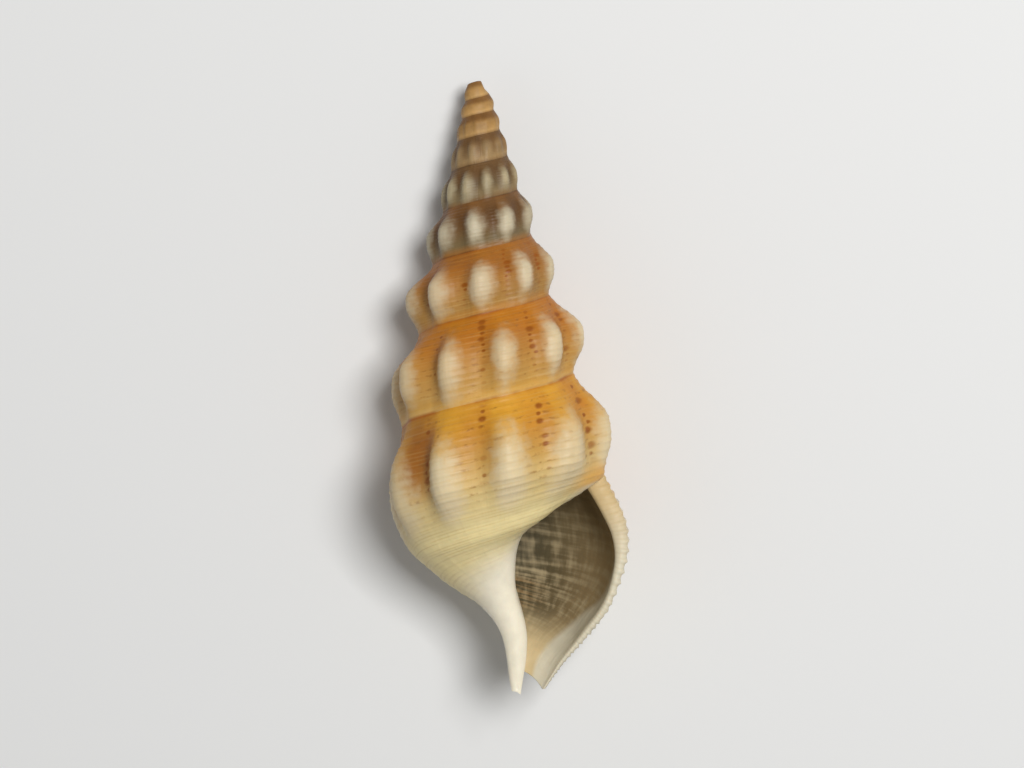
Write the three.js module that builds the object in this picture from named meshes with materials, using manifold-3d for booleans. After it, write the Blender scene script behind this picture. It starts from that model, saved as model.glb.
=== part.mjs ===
// A tall-spired sea snail shell, lying on its back with its aperture up.
// Millimetres, +Z up. The spire points along +Y and the outer lip is on the +X side.
//
// Every point of the shell has a growth stage, counted in turns from the apex to the lip,
// and a place across the whorl: 0 at the upper suture, 1 at the lower suture, and 2 at the
// end of the canal. Each stage has one outline in the half-plane that holds the shell's axis,
// as a radius from the axis and a depth below the apex.
import * as THREE from "three";
import { mergeVertices } from "three/addons/utils/BufferGeometryUtils.js";
import Module from "manifold-3d";

// Growth of the spiral
const WHORLS = 9;
const GROWTH = 1.318; // size of a whorl over the size of the one before it
const LIP_SUTURE_RADIUS = 6.85;
const CONE_DEPTH = 28.23; // from the tip of the whole cone to the suture at the lip
const BLUNTING = 2.17; // of the cone's tip is missing at the apex
const APEX_TURNS = 0.4; // over which the first whorl rises from the apex
const NUCLEUS_TURNS = [0.15, 0.6]; // over which the first whorl's radius and depth round off
const LEAN = 0.65; // of the canal's tip towards the lip
const LEAN_START = 16.4;
const LEAN_LENGTH = 23.6;

// Relief of the whorls, at the size of the last one
// Heights are given at every half turn, and shapes at every seventh of the way across.
const KEEL_HEIGHTS = [
  0, 1.2, 1.3, 1.2, 1.0, 0.65, 0.6, 0.3, 0.6, 0.5, 0.9, 1.05, 1.2, 1.5, 1.5, 0.95, 1.0, 0, 0.65,
];
const KEEL_SHAPE = [0, 0.34, 0.73, 1, 0.94, 0.68, 0.24, 0];
const RIB_HEIGHTS = [
  0, 0, 0, 0, 0.25, 0.4, 0.5, 0.6, 0.85, 0.95, 1.1, 1.1, 1.25, 1.4, 1.4, 1.25, 1.15, 0.9, 0,
];
const RIB_SHAPE = [0, 0.15, 0.65, 1, 1, 0.88, 0.55, 0.2];
const SUTURE_WAVE = 0.2; // share of a rib's height that still shows at the suture below it
const RIBS_ON_WHORL = [10, 12, 12, 10.76, 10.9, 9.18, 9.16, 10, 9.7];
const RIB_START = 0.72; // place of the first rib, in ribs
const RIB_SHARPNESS = 1.3;
const RIB_SKEW = 0.55; // how much steeper a rib's side towards the lip is
const VALLEY_DEPTH = 0.22; // share of a rib's height that the valleys lie below the whorl
const BASE_ROUNDING = 0.35; // of the way across, on each side of the line where the base begins
const LIP_ROUNDNESS = 0.3; // share of that rounding left on the half that ends in the lip
const TUCK = 2.47; // the last whorl's base lies this far inside the cone at the lip

// Outlines below the last whorl, each [radius, depth], at the start, middle and end of its turn
const INNER_LIP = [
  [6.85, 26.06],
  [4.5, 27.5],
  [0.7, 29.1],
  [0.4, 32.3],
  [1.0, 36.4],
  [0.2, 40.25],
];
const LEFT_NECK = [
  [6.35, 30.2],
  [5.55, 31.05],
  [4.05, 32.35],
  [1.95, 34.0],
  [0.62, 36.4],
  [0.35, 40.0],
];
const LIP_NECK = [
  [6.55, 35.0],
  [5.45, 36.15],
  [4.35, 37.25],
  [3.3, 38.25],
  [2.5, 39.15],
  [1.85, 39.95],
];
const NOTCH_DEPTH = 1.35; // of the canal's end, between the two tips

// Wall and cavity
const WALL = 0.6;
const LIP_WALL = 0.5;
const LIP_WALL_TOP = 1.25; // at the upper end of the lip, from which it thins
const LIP_WALL_TURNS = 0.06; // over which the wall changes to the thickness of the lip
const CANAL_WALL = 0.3;
const LIP_REACH = 0.028; // turns by which the lip bulges forward
const LIP_ROUNDING = 0.22;
const CAVITY_TURNS = 0.8;
const CANAL_TURNS = 0.354; // the canal is open to its end over this much of the turn
const CANAL_CLOSING = 0.2; // turns over which it then draws up into the whorl
const CLOSED_REACH = 1.42; // place across of the cavity's bottom where the canal is closed

// Facets
const STEPS = 48; // in a turn
const WHORL_ROWS = 7;
const NECK_PLACES = [0, 0.06, 0.125, 0.23, 0.34, 0.48, 0.62, 0.76, 0.88, 1];
const NECK_ROWS = NECK_PLACES.length - 1;
const JOIN_ROW = 2; // neck row where the cavity's top corner runs
const ROWS = WHORL_ROWS + NECK_ROWS;

// How it lies: turned so that three ribs touch the ground, each with a small worn flat
const REST_TILT = 11.93;
const REST_ROLL = 8.86;
const WORN_FLAT = 0.12;
const GROUND_SIZE = 100;

const SHELL_COLOUR = 0xe6c48c;

const LAST_TURN = WHORLS - 1;
const CANAL_START = WHORLS - CANAL_TURNS;
const clamp01 = (x) => Math.min(1, Math.max(0, x));
const smooth = (low, high, x) => {
  const t = clamp01((x - low) / (high - low));
  return t * t * (3 - 2 * t);
};
const mix = THREE.MathUtils.lerp;
const mixPoint = (a, b, share) => [mix(a[0], b[0], share), mix(a[1], b[1], share)];

// A smooth curve through evenly spaced values
function along(values, place) {
  const spot = clamp01(place) * (values.length - 1);
  const i = Math.min(Math.floor(spot), values.length - 2);
  const at = (k) => values[Math.min(values.length - 1, Math.max(0, k))];
  const t = spot - i;
  const slopeIn = (at(i + 1) - at(i - 1)) / 2;
  const slopeOut = (at(i + 2) - at(i)) / 2;
  const jump = at(i + 1) - at(i);
  return at(i) + t * (slopeIn + t * (3 * jump - 2 * slopeIn - slopeOut + t * (slopeIn + slopeOut - 2 * jump)));
}

const outlineAt = (outline, place) => [0, 1].map((k) => along(outline.map((p) => p[k]), place));

const size = (turn) => GROWTH ** (turn - WHORLS);
const nucleus = (age, turns) => 1 - Math.exp(-((age / turns) ** 2));

const keelHeight = (turn) => along(KEEL_HEIGHTS, turn / WHORLS);
const ribHeight = (turn) => along(RIB_HEIGHTS, turn / WHORLS);

// The number of ribs passed since the apex
function ribCount(turn) {
  const whorl = Math.min(Math.max(0, Math.floor(turn)), WHORLS - 1);
  const before = RIBS_ON_WHORL.slice(0, whorl).reduce((sum, n) => sum + n, 0);
  return RIB_START + before + (turn - whorl) * RIBS_ON_WHORL[whorl];
}

// Height of the ribs at a stage, before its share across the whorl
function ribLift(turn) {
  if (turn < 0) return 0;
  const angle = 2 * Math.PI * ribCount(turn);
  const skewed = angle + RIB_SKEW * (1 - Math.cos(angle)) / 2;
  const crest = ((1 + Math.cos(skewed)) / 2) ** RIB_SHARPNESS;
  return size(turn) * ribHeight(turn) * (crest * (1 + VALLEY_DEPTH) - VALLEY_DEPTH);
}

function tuck(turn) {
  const done = clamp01(turn - LAST_TURN);
  return TUCK * done * (1.45 - 0.45 * done);
}

// The line on which the sutures lie
function conePoint(age) {
  const radius = LIP_SUTURE_RADIUS * size(age) * nucleus(age, NUCLEUS_TURNS[0]);
  const depth = (CONE_DEPTH * size(age) - BLUNTING) * nucleus(age, NUCLEUS_TURNS[1]);
  return [radius, depth];
}

// Outside of a whorl from suture to suture, with no ribs; it swells out of the apex's plain cap
function whorlPoint(turn, across) {
  const plain = mixPoint(conePoint(turn), conePoint(turn + 1), across);
  const [radius, depth] = mixPoint(plain, conePoint(turn + across), smooth(0, APEX_TURNS, turn));
  const keel = size(turn) * keelHeight(turn) * along(KEEL_SHAPE, across);
  return [radius + keel - tuck(turn) * across ** 3, depth];
}

// The outline of the last turn below the suture line, between its three known outlines
function neckOfLastTurn(turn, place) {
  const u = turn - LAST_TURN;
  const weights = [2 * (u - 0.5) * (u - 1), 4 * u * (1 - u), 2 * u * (u - 0.5)];
  const known = [INNER_LIP, LEFT_NECK, LIP_NECK].map((outline) => outlineAt(outline, place));
  const [radius, depth] = [0, 1].map((k) => known.reduce((sum, p, n) => sum + weights[n] * p[k], 0));
  const notch = NOTCH_DEPTH * 4 * clamp01(2 * u - 1) * (1 - clamp01(2 * u - 1));
  return [radius, depth - notch * place ** 3];
}

// The wall that the cavity shares with the turn before it: the inner lip, grown smaller
function pillarPoint(turn, place) {
  const scale = GROWTH ** (turn - LAST_TURN);
  const [radius, depth] = outlineAt(INNER_LIP, place);
  return [radius * scale, (depth + BLUNTING) * scale - BLUNTING];
}

function sharpOutside(turn, across) {
  if (across <= 1) return whorlPoint(turn, across);
  const place = across - 1;
  if (turn < LAST_TURN) {
    const point = pillarPoint(turn, place);
    const end = pillarPoint(turn, 1);
    const wanted = pillarEnd(turn + 1);
    return point.map((value, k) => value + place ** 3 * (wanted[k] - end[k]));
  }
  const point = neckOfLastTurn(turn, place);
  const start = neckOfLastTurn(turn, 0);
  const wanted = whorlPoint(turn, 1);
  return point.map((value, k) => value + (1 - place) ** 3 * (wanted[k] - start[k]));
}

// The same, with the last whorl rounded where its base begins
function smoothOutside(turn, across) {
  const half = mix(LIP_ROUNDNESS, 1, smooth(LAST_TURN + 0.55, LAST_TURN + 0.35, turn));
  const young = half * smooth(LAST_TURN, LAST_TURN + 0.15, turn);
  const span = BASE_ROUNDING * young * smooth(0.4, 0.9, across) * smooth(1.45, 1.1, across);
  if (!span) return sharpOutside(turn, across);
  const near = [-1, -0.5, 0, 0.5, 1].map((w) => sharpOutside(turn, across + w * span));
  return [0, 1].map((k) => near.reduce((sum, p) => sum + p[k], 0) / near.length);
}

function outside(turn, across) {
  const [radius, depth] = smoothOutside(turn, across);
  if (turn < LAST_TURN && across > 1) return [radius, depth];
  const own = across <= 1 ? along(RIB_SHAPE, across) : SUTURE_WAVE * clamp01((1.3 - across) / 0.3) ** 2;
  const above = SUTURE_WAVE * clamp01(1 - across / 0.2) ** 2;
  return [radius + own * ribLift(turn) + above * ribLift(turn - 1), depth];
}

function wallThickness(turn, across) {
  const lip = mix(LIP_WALL_TOP, LIP_WALL, smooth(0.25, 0.95, across));
  const body = mix(WALL, lip, Math.exp((turn - WHORLS) / LIP_WALL_TURNS));
  return mix(body, CANAL_WALL, smooth(1, 1.8, across)) * size(turn);
}

// Inside of the outer wall, before its top is drawn to the cavity's corner
function offsetInside(turn, across) {
  const reach = mix(CLOSED_REACH, 2, smooth(CANAL_START - CANAL_CLOSING, CANAL_START, turn));
  const place = (across * reach) / 2;
  const step = 0.01;
  const before = smoothOutside(turn, Math.max(0, place - step));
  const after = smoothOutside(turn, Math.min(2, place + step));
  const run = Math.hypot(after[0] - before[0], after[1] - before[1]);
  const [radius, depth] = smoothOutside(turn, place);
  const wall = wallThickness(turn, across);
  const inward = [-(after[1] - before[1]) / run, (after[0] - before[0]) / run];
  const end = smooth(1.6, 2, across) * smooth(CANAL_START - CANAL_CLOSING, CANAL_START, turn);
  return [radius + wall * inward[0], depth + wall * inward[1] * (1 - end)];
}

function inside(turn, across) {
  const corner = smoothOutside(turn - 1, 1 + NECK_PLACES[JOIN_ROW]);
  return mixPoint(corner, offsetInside(turn, across), smooth(-0.15, 0.35, across) * smooth(-0.001, 0.1, across));
}

// Bottom of the pillar at a stage of the cavity around it
function pillarEnd(turn) {
  if (turn <= CANAL_START) return offsetInside(turn, 2);
  const back = (WHORLS - turn) / CANAL_TURNS;
  return mixPoint(INNER_LIP.at(-1), offsetInside(CANAL_START, 2), back);
}

// A half-plane point at a stage, placed in the shell's own frame with the apex up +Y
function coil(turn, [radius, depth]) {
  const angle = 2 * Math.PI * turn;
  const lean = LEAN * Math.max(0, (depth - LEAN_START) / LEAN_LENGTH) ** 2;
  return new THREE.Vector3(radius * Math.cos(angle) + lean, -depth, radius * Math.sin(angle));
}

// The lip's edge bulges forward between its two ends, and the stages just before it follow
function lipTurn(turn, across) {
  return turn + LIP_REACH * Math.sin((Math.PI * across) / 2) * smooth(WHORLS - 0.3, WHORLS, turn);
}

const placeOfRow = (row) =>
  row <= WHORL_ROWS ? row / WHORL_ROWS : 1 + NECK_PLACES[row - WHORL_ROWS];

// The shell's net: rows and columns of each sheet, with shared edges counted once
class Net {
  constructor() {
    this.points = [];
    this.faces = [];
    this.known = new Map();
  }

  vertex(key, place) {
    if (!this.known.has(key)) {
      this.known.set(key, this.points.length);
      this.points.push(place());
    }
    return this.known.get(key);
  }

  outer(step, row) {
    if (row === WHORL_ROWS && step <= LAST_TURN * STEPS) return this.outer(step + STEPS, 0);
    const turn = step / STEPS;
    const across = placeOfRow(row);
    return this.vertex(`outer ${step} ${row}`, () => coil(lipTurn(turn, across), outside(turn, across)));
  }

  inner(step, row) {
    if (row === 0) return this.outer(step - STEPS, WHORL_ROWS + JOIN_ROW);
    if (row === ROWS && step <= CANAL_START * STEPS) return this.outer(step - STEPS, ROWS);
    const turn = step / STEPS;
    const across = placeOfRow(row);
    return this.vertex(`inner ${step} ${row}`, () => coil(lipTurn(turn, across), inside(turn, across)));
  }

  rim(row, ring) {
    const last = WHORLS * STEPS;
    if (ring === 0) return this.outer(last, row);
    if (ring === JOIN_ROW) return this.inner(last, row);
    if (row === 0) return this.outer(LAST_TURN * STEPS, WHORL_ROWS + ring);
    const share = ring / JOIN_ROW;
    return this.vertex(`rim ${row} ${ring}`, () => {
      const middle = this.points[this.outer(last, row)].clone();
      middle.lerp(this.points[this.inner(last, row)], share);
      middle.z += LIP_ROUNDING * Math.sin(Math.PI * share);
      return middle;
    });
  }

  face(...corners) {
    const kept = [...new Set(corners)];
    for (let n = 1; n + 1 < kept.length; n++) this.faces.push([kept[0], kept[n], kept[n + 1]]);
  }

  sheet(corner, [lowStep, highStep], [lowRow, highRow], turnedOver = false) {
    for (let step = lowStep; step < highStep; step++)
      for (let row = lowRow; row < highRow; row++) {
        const ring = [
          corner(step, row),
          corner(step + 1, row),
          corner(step + 1, row + 1),
          corner(step, row + 1),
        ];
        this.face(...(turnedOver ? ring.reverse() : ring));
      }
  }

  // Closed loops of edges that bound no second face, in the order that a cap's edges need
  openLoops() {
    const edges = new Set();
    for (const [a, b, c] of this.faces) for (const e of [[a, b], [b, c], [c, a]]) edges.add(e.join());
    const next = new Map();
    for (const edge of edges) {
      const [a, b] = edge.split(",").map(Number);
      if (!edges.has(`${b},${a}`)) next.set(b, a);
    }
    const loops = [];
    while (next.size) {
      const loop = [];
      let at = next.keys().next().value;
      while (next.has(at)) {
        loop.push(at);
        const following = next.get(at);
        next.delete(at);
        at = following;
      }
      loops.push(loop);
    }
    return loops;
  }

  // Closes the apex by a fan from its centre, and by another over the first whorl's start
  capApex(loop) {
    const start = new Set(Array.from({ length: WHORL_ROWS }, (_, row) => this.outer(0, row + 1)));
    loop.forEach((a, n) => {
      const b = loop[(n + 1) % loop.length];
      this.face(start.has(a) || start.has(b) ? this.outer(STEPS - 1, 0) : this.outer(0, 0), a, b);
    });
  }

  // Closes a loop by triangles, seen along the direction that it mostly faces
  cap(loop) {
    const corners = loop.map((n) => this.points[n]);
    const facing = new THREE.Vector3();
    corners.forEach((p, n) => facing.add(new THREE.Vector3().crossVectors(p, corners[(n + 1) % corners.length])));
    const turnFlat = new THREE.Quaternion().setFromUnitVectors(facing.normalize(), new THREE.Vector3(0, 0, 1));
    const flat = corners.map((p) => {
      const q = p.clone().applyQuaternion(turnFlat);
      return new THREE.Vector2(q.x, q.y);
    });
    for (const [a, b, c] of THREE.ShapeUtils.triangulateShape(flat, [])) {
      const area = flat[b].clone().sub(flat[a]).cross(flat[c].clone().sub(flat[a]));
      this.face(...(area > 0 ? [a, b, c] : [a, c, b]).map((n) => loop[n]));
    }
  }
}

function shellNet() {
  const net = new Net();
  const outer = (step, row) => net.outer(step, row);
  const inner = (step, row) => net.inner(step, row);
  const rim = (row, ring) => net.rim(row, ring);
  const last = WHORLS * STEPS;
  const deepest = last - Math.round(CAVITY_TURNS * STEPS);
  net.sheet(outer, [0, last], [0, WHORL_ROWS]);
  net.sheet(outer, [last - STEPS, last], [WHORL_ROWS, ROWS]);
  net.sheet(outer, [deepest - STEPS, last - STEPS], [WHORL_ROWS + JOIN_ROW, ROWS]);
  net.sheet(inner, [deepest, last], [0, ROWS], true);
  net.sheet(rim, [0, ROWS], [0, JOIN_ROW], true);
  for (const loop of net.openLoops()) {
    if (loop.includes(outer(0, 0))) net.capApex(loop);
    else net.cap(loop);
  }
  return net;
}

const wasm = await Module();
wasm.setup();

function solidOf(geometry) {
  const bare = geometry.clone();
  for (const name of ["normal", "uv"]) bare.deleteAttribute(name);
  const merged = mergeVertices(bare);
  return new wasm.Manifold(
    new wasm.Mesh({
      numProp: 3,
      vertProperties: merged.attributes.position.array,
      triVerts: new Uint32Array(merged.index.array),
    }),
  );
}

function geometryOf(solid) {
  const mesh = solid.getMesh();
  return new THREE.BufferGeometry()
    .setAttribute("position", new THREE.BufferAttribute(mesh.vertProperties, 3))
    .setIndex(new THREE.BufferAttribute(mesh.triVerts, 1));
}

// The shell as it lies, with its lowest point at -WORN_FLAT and its box centred on the origin
function lyingShell() {
  const net = shellNet();
  const geometry = new THREE.BufferGeometry().setFromPoints(net.points).setIndex(net.faces.flat());
  geometry.rotateY(THREE.MathUtils.degToRad(REST_ROLL));
  geometry.rotateX(THREE.MathUtils.degToRad(-REST_TILT));
  geometry.computeBoundingBox();
  const box = geometry.boundingBox;
  const centre = box.getCenter(new THREE.Vector3());
  return geometry.translate(-centre.x, -centre.y, -box.min.z - WORN_FLAT);
}

// Wears the resting points flat, down to the plane of the ground
function worn(geometry) {
  const ground = new THREE.BoxGeometry(GROUND_SIZE, GROUND_SIZE, GROUND_SIZE).translate(0, 0, -GROUND_SIZE / 2);
  return geometryOf(solidOf(geometry).subtract(solidOf(ground)));
}

const shell = new THREE.Mesh(
  worn(lyingShell()),
  new THREE.MeshStandardMaterial({ color: SHELL_COLOUR, roughness: 0.45, metalness: 0 }),
);
shell.name = "shell";

const group = new THREE.Group();
group.add(shell);
export default group;
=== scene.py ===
"""A tall-spired, ribbed sea snail shell, lying on its back with its aperture up.

The shell is one mesh. Its net of growth stages is laid out in Python, and a Geometry Nodes tree coils it
round its axis, raises its ribs and spiral threads, and lays it down on the ground.
"""
import logging
import math
from dataclasses import dataclass, field
from enum import Enum

import bpy
import numpy as np
from mathutils import Matrix, Vector


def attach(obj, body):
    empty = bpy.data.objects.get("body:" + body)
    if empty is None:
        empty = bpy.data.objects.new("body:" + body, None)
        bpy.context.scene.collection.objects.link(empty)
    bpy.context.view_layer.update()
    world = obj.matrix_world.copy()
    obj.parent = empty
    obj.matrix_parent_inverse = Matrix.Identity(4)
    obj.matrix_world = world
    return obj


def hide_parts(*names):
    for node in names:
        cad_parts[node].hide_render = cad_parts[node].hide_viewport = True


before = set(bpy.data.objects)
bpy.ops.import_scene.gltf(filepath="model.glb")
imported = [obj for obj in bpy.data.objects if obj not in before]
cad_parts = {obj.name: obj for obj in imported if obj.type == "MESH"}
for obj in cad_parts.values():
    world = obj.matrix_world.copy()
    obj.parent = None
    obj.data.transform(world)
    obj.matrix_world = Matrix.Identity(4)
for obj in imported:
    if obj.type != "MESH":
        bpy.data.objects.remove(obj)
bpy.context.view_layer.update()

LOG = logging.getLogger("shell")
MM = 0.001
TURN = 2 * math.pi
Values = tuple[float, ...]
Span = tuple[float, float]
Outline = tuple[Span, ...]
Point = tuple[float, float, float]
Colour = tuple[float, float, float]
Stops = tuple[tuple[float, Colour], ...]
Streaks = tuple[float, float, float]
Profile = tuple[np.ndarray, np.ndarray]
Socket = bpy.types.NodeSocket
WHOLE: Span = (0.0, 1.0)
LIP_CREAM: Colour = (212, 203, 178)


def smooth(low: float, high: float, x: np.ndarray) -> np.ndarray:
    """Smooth step from 0 at low to 1 at high.

    Args:
        low: Value of x where the step starts.
        high: Value of x where the step ends; it may be the smaller one.
        x: Places to read the step at.

    Returns:
        The step's values.
    """
    t = np.clip((x - low) / (high - low), 0, 1)
    return t * t * (3 - 2 * t)


def mix(a: np.ndarray, b: np.ndarray, share: np.ndarray) -> np.ndarray:
    """Blend of a and b, with b's share."""
    return a + (b - a) * share


def along(values: Values, place: np.ndarray) -> np.ndarray:
    """Smooth curve through evenly spaced values.

    Args:
        values: The values from place 0 to place 1.
        place: Places to read the curve at.

    Returns:
        The curve's values.
    """
    table = np.asarray(values, float)
    top = len(table) - 1
    spot = np.clip(place, 0, 1) * top
    i = np.minimum(np.floor(spot).astype(int), top - 1)
    t = spot - i
    before = table[np.maximum(i - 1, 0)]
    here = table[i]
    there = table[i + 1]
    after = table[np.minimum(i + 2, top)]
    slope_in = (there - before) / 2
    slope_out = (after - here) / 2
    jump = there - here
    bend = 3 * jump - 2 * slope_in - slope_out
    return here + t * (slope_in + t * (bend + t * (slope_in + slope_out - 2 * jump)))


def outline_at(outline: Outline, place: np.ndarray) -> Profile:
    """Radius and depth on a smooth outline, at places from 0 to 1."""
    radii, depths = zip(*outline)
    return along(radii, place), along(depths, place)


class Zone(Enum):
    """Which surface of the shell a face lies on."""

    OUTSIDE = 0
    CAVITY = 1
    RIM = 2


@dataclass
class Growth:
    """The spiral that the shell grows on, in millimetres and in turns from the apex."""

    whorls: int = 9
    growth: float = 1.318
    lip_suture_radius: float = 6.85
    cone_depth: float = 28.23
    blunting: float = 2.17
    apex_turns: float = 0.4
    nucleus_turns: Span = (0.15, 0.6)
    lean: float = 0.65
    lean_start: float = 16.4
    lean_length: float = 23.6

    @property
    def last_turn(self) -> int:
        """Turn where the last whorl starts."""
        return self.whorls - 1

    def size(self, turn: np.ndarray) -> np.ndarray:
        """Size of a stage over the size at the lip."""
        return self.growth ** (turn - self.whorls)

    def cone_point(self, age: np.ndarray) -> Profile:
        """Radius and depth of the line on which the sutures lie.

        Args:
            age: Growth stages, in turns from the apex.

        Returns:
            Radii and depths, in millimetres.
        """
        rounding = [1 - np.exp(-((age / turns) ** 2)) for turns in self.nucleus_turns]
        radius = self.lip_suture_radius * self.size(age) * rounding[0]
        depth = (self.cone_depth * self.size(age) - self.blunting) * rounding[1]
        return radius, depth

    def coil(self, turn: np.ndarray, radius: np.ndarray, depth: np.ndarray) -> np.ndarray:
        """Points in the shell's own frame, apex up +Y and aperture towards +Z.

        Args:
            turn: Growth stages.
            radius: Radii from the axis.
            depth: Depths below the apex.

        Returns:
            One row per point, in millimetres.
        """
        lean = self.lean * np.maximum(0, (depth - self.lean_start) / self.lean_length) ** 2
        return np.stack([radius * np.cos(TURN * turn) + lean, -depth, radius * np.sin(TURN * turn)], 1)


@dataclass
class Ribs:
    """Rounded ribs that run along the axis, and the keel under them, at the size of the last whorl."""

    keel_heights: Values = (
        0, 1.2, 1.3, 1.2, 1.0, 0.65, 0.6, 0.3, 0.6, 0.5, 0.9, 1.05, 1.2, 1.5, 1.5, 0.95, 1.0, 0, 0.65,
    )
    keel_shape: Values = (0, 0.34, 0.73, 1, 0.94, 0.68, 0.24, 0)
    heights: Values = (
        0, 0, 0, 0, 0.25, 0.4, 0.5, 0.6, 0.85, 0.95, 1.1, 1.1, 1.25, 1.4, 1.4, 1.25, 1.15, 0.9, 0,
    )
    shape: Values = (0, 0.15, 0.65, 1, 1, 0.88, 0.55, 0.2)
    suture_wave: float = 0.2
    wave_above: float = 0.2
    wave_below: float = 0.3
    on_whorl: Values = (10, 12, 12, 10.76, 10.9, 9.18, 9.16, 10, 9.7)
    start: float = 0.72
    sharpness: float = 1.3
    skew: float = 0.55
    valley_depth: float = 0.22

    def crest(self, count: np.ndarray) -> np.ndarray:
        """Share of a rib's height at a count of ribs: 1 on each crest, and below 0 in the valleys.

        Args:
            count: Number of ribs passed.

        Returns:
            The share.
        """
        angle = TURN * count
        share = ((1 + np.cos(angle + self.skew * (1 - np.cos(angle)) / 2)) / 2) ** self.sharpness
        return share * (1 + self.valley_depth) - self.valley_depth

    def count(self, turn: np.ndarray) -> np.ndarray:
        """Number of ribs passed since the apex, whole on a rib's crest."""
        ends = np.concatenate([[0], np.cumsum(self.on_whorl)])
        return self.start + np.interp(np.maximum(turn, 0), np.arange(len(ends)), ends)


@dataclass
class Aperture:
    """Outlines below the last whorl, the wall and the cavity, in millimetres."""

    inner_lip: Outline = (
        (6.85, 26.06), (4.5, 27.5), (0.7, 29.1), (0.4, 32.3), (1.0, 36.4), (0.2, 40.25),
    )
    left_neck: Outline = (
        (6.35, 30.2), (5.55, 31.05), (4.05, 32.35), (1.95, 34.0), (0.62, 36.4), (0.35, 40.0),
    )
    lip_neck: Outline = (
        (6.55, 35.0), (5.45, 36.15), (4.35, 37.25), (3.3, 38.25), (2.5, 39.15), (1.85, 39.95),
    )
    notch_depth: float = 1.35
    base_rounding: float = 0.35
    rounding_start: float = 0.15
    rounding_end: Span = (0.55, 0.35)
    rounding_above: Span = (0.4, 0.9)
    rounding_below: Span = (1.45, 1.1)
    lip_roundness: float = 0.3
    tuck: float = 2.47
    early_tuck: float = 1.45
    wall: float = 0.6
    lip_wall: float = 0.5
    lip_wall_top: float = 1.25
    lip_thinning: Span = (0.25, 0.95)
    lip_wall_turns: float = 0.06
    canal_wall: float = 0.3
    canal_thinning: Span = (1, 1.8)
    canal_floor: Span = (1.6, 2)
    lip_reach: float = 0.028
    lip_bulge_turns: float = 0.3
    lip_rounding: float = 0.22
    cavity_turns: float = 0.8
    canal_turns: float = 0.354
    canal_closing: float = 0.2
    closed_reach: float = 1.42
    join_place: float = 0.125
    corner_drawn: Span = (-0.15, 0.35)
    corner_edge: Span = (-0.001, 0.1)


@dataclass
class Threads:
    """Fine spiral cords over the whole outside, in millimetres at the size of the last whorl."""

    on_whorl: int = 14
    on_base: int = 18
    height: float = 0.05
    lip_height: float = 0.13
    lip_turns: float = 0.035
    young_turns: Span = (0.3, 2.5)
    split_turns: Span = (6.3, 8.2)
    top_places: Span = (0, 0.06)
    end_places: Span = (1.75, 1.95)
    callus_start: float = 1.3
    callus_slope: float = 0.54
    callus_edge: Span = (-0.04, 0.08)
    callus_turns: Span = (8.72, 8.6)


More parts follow.
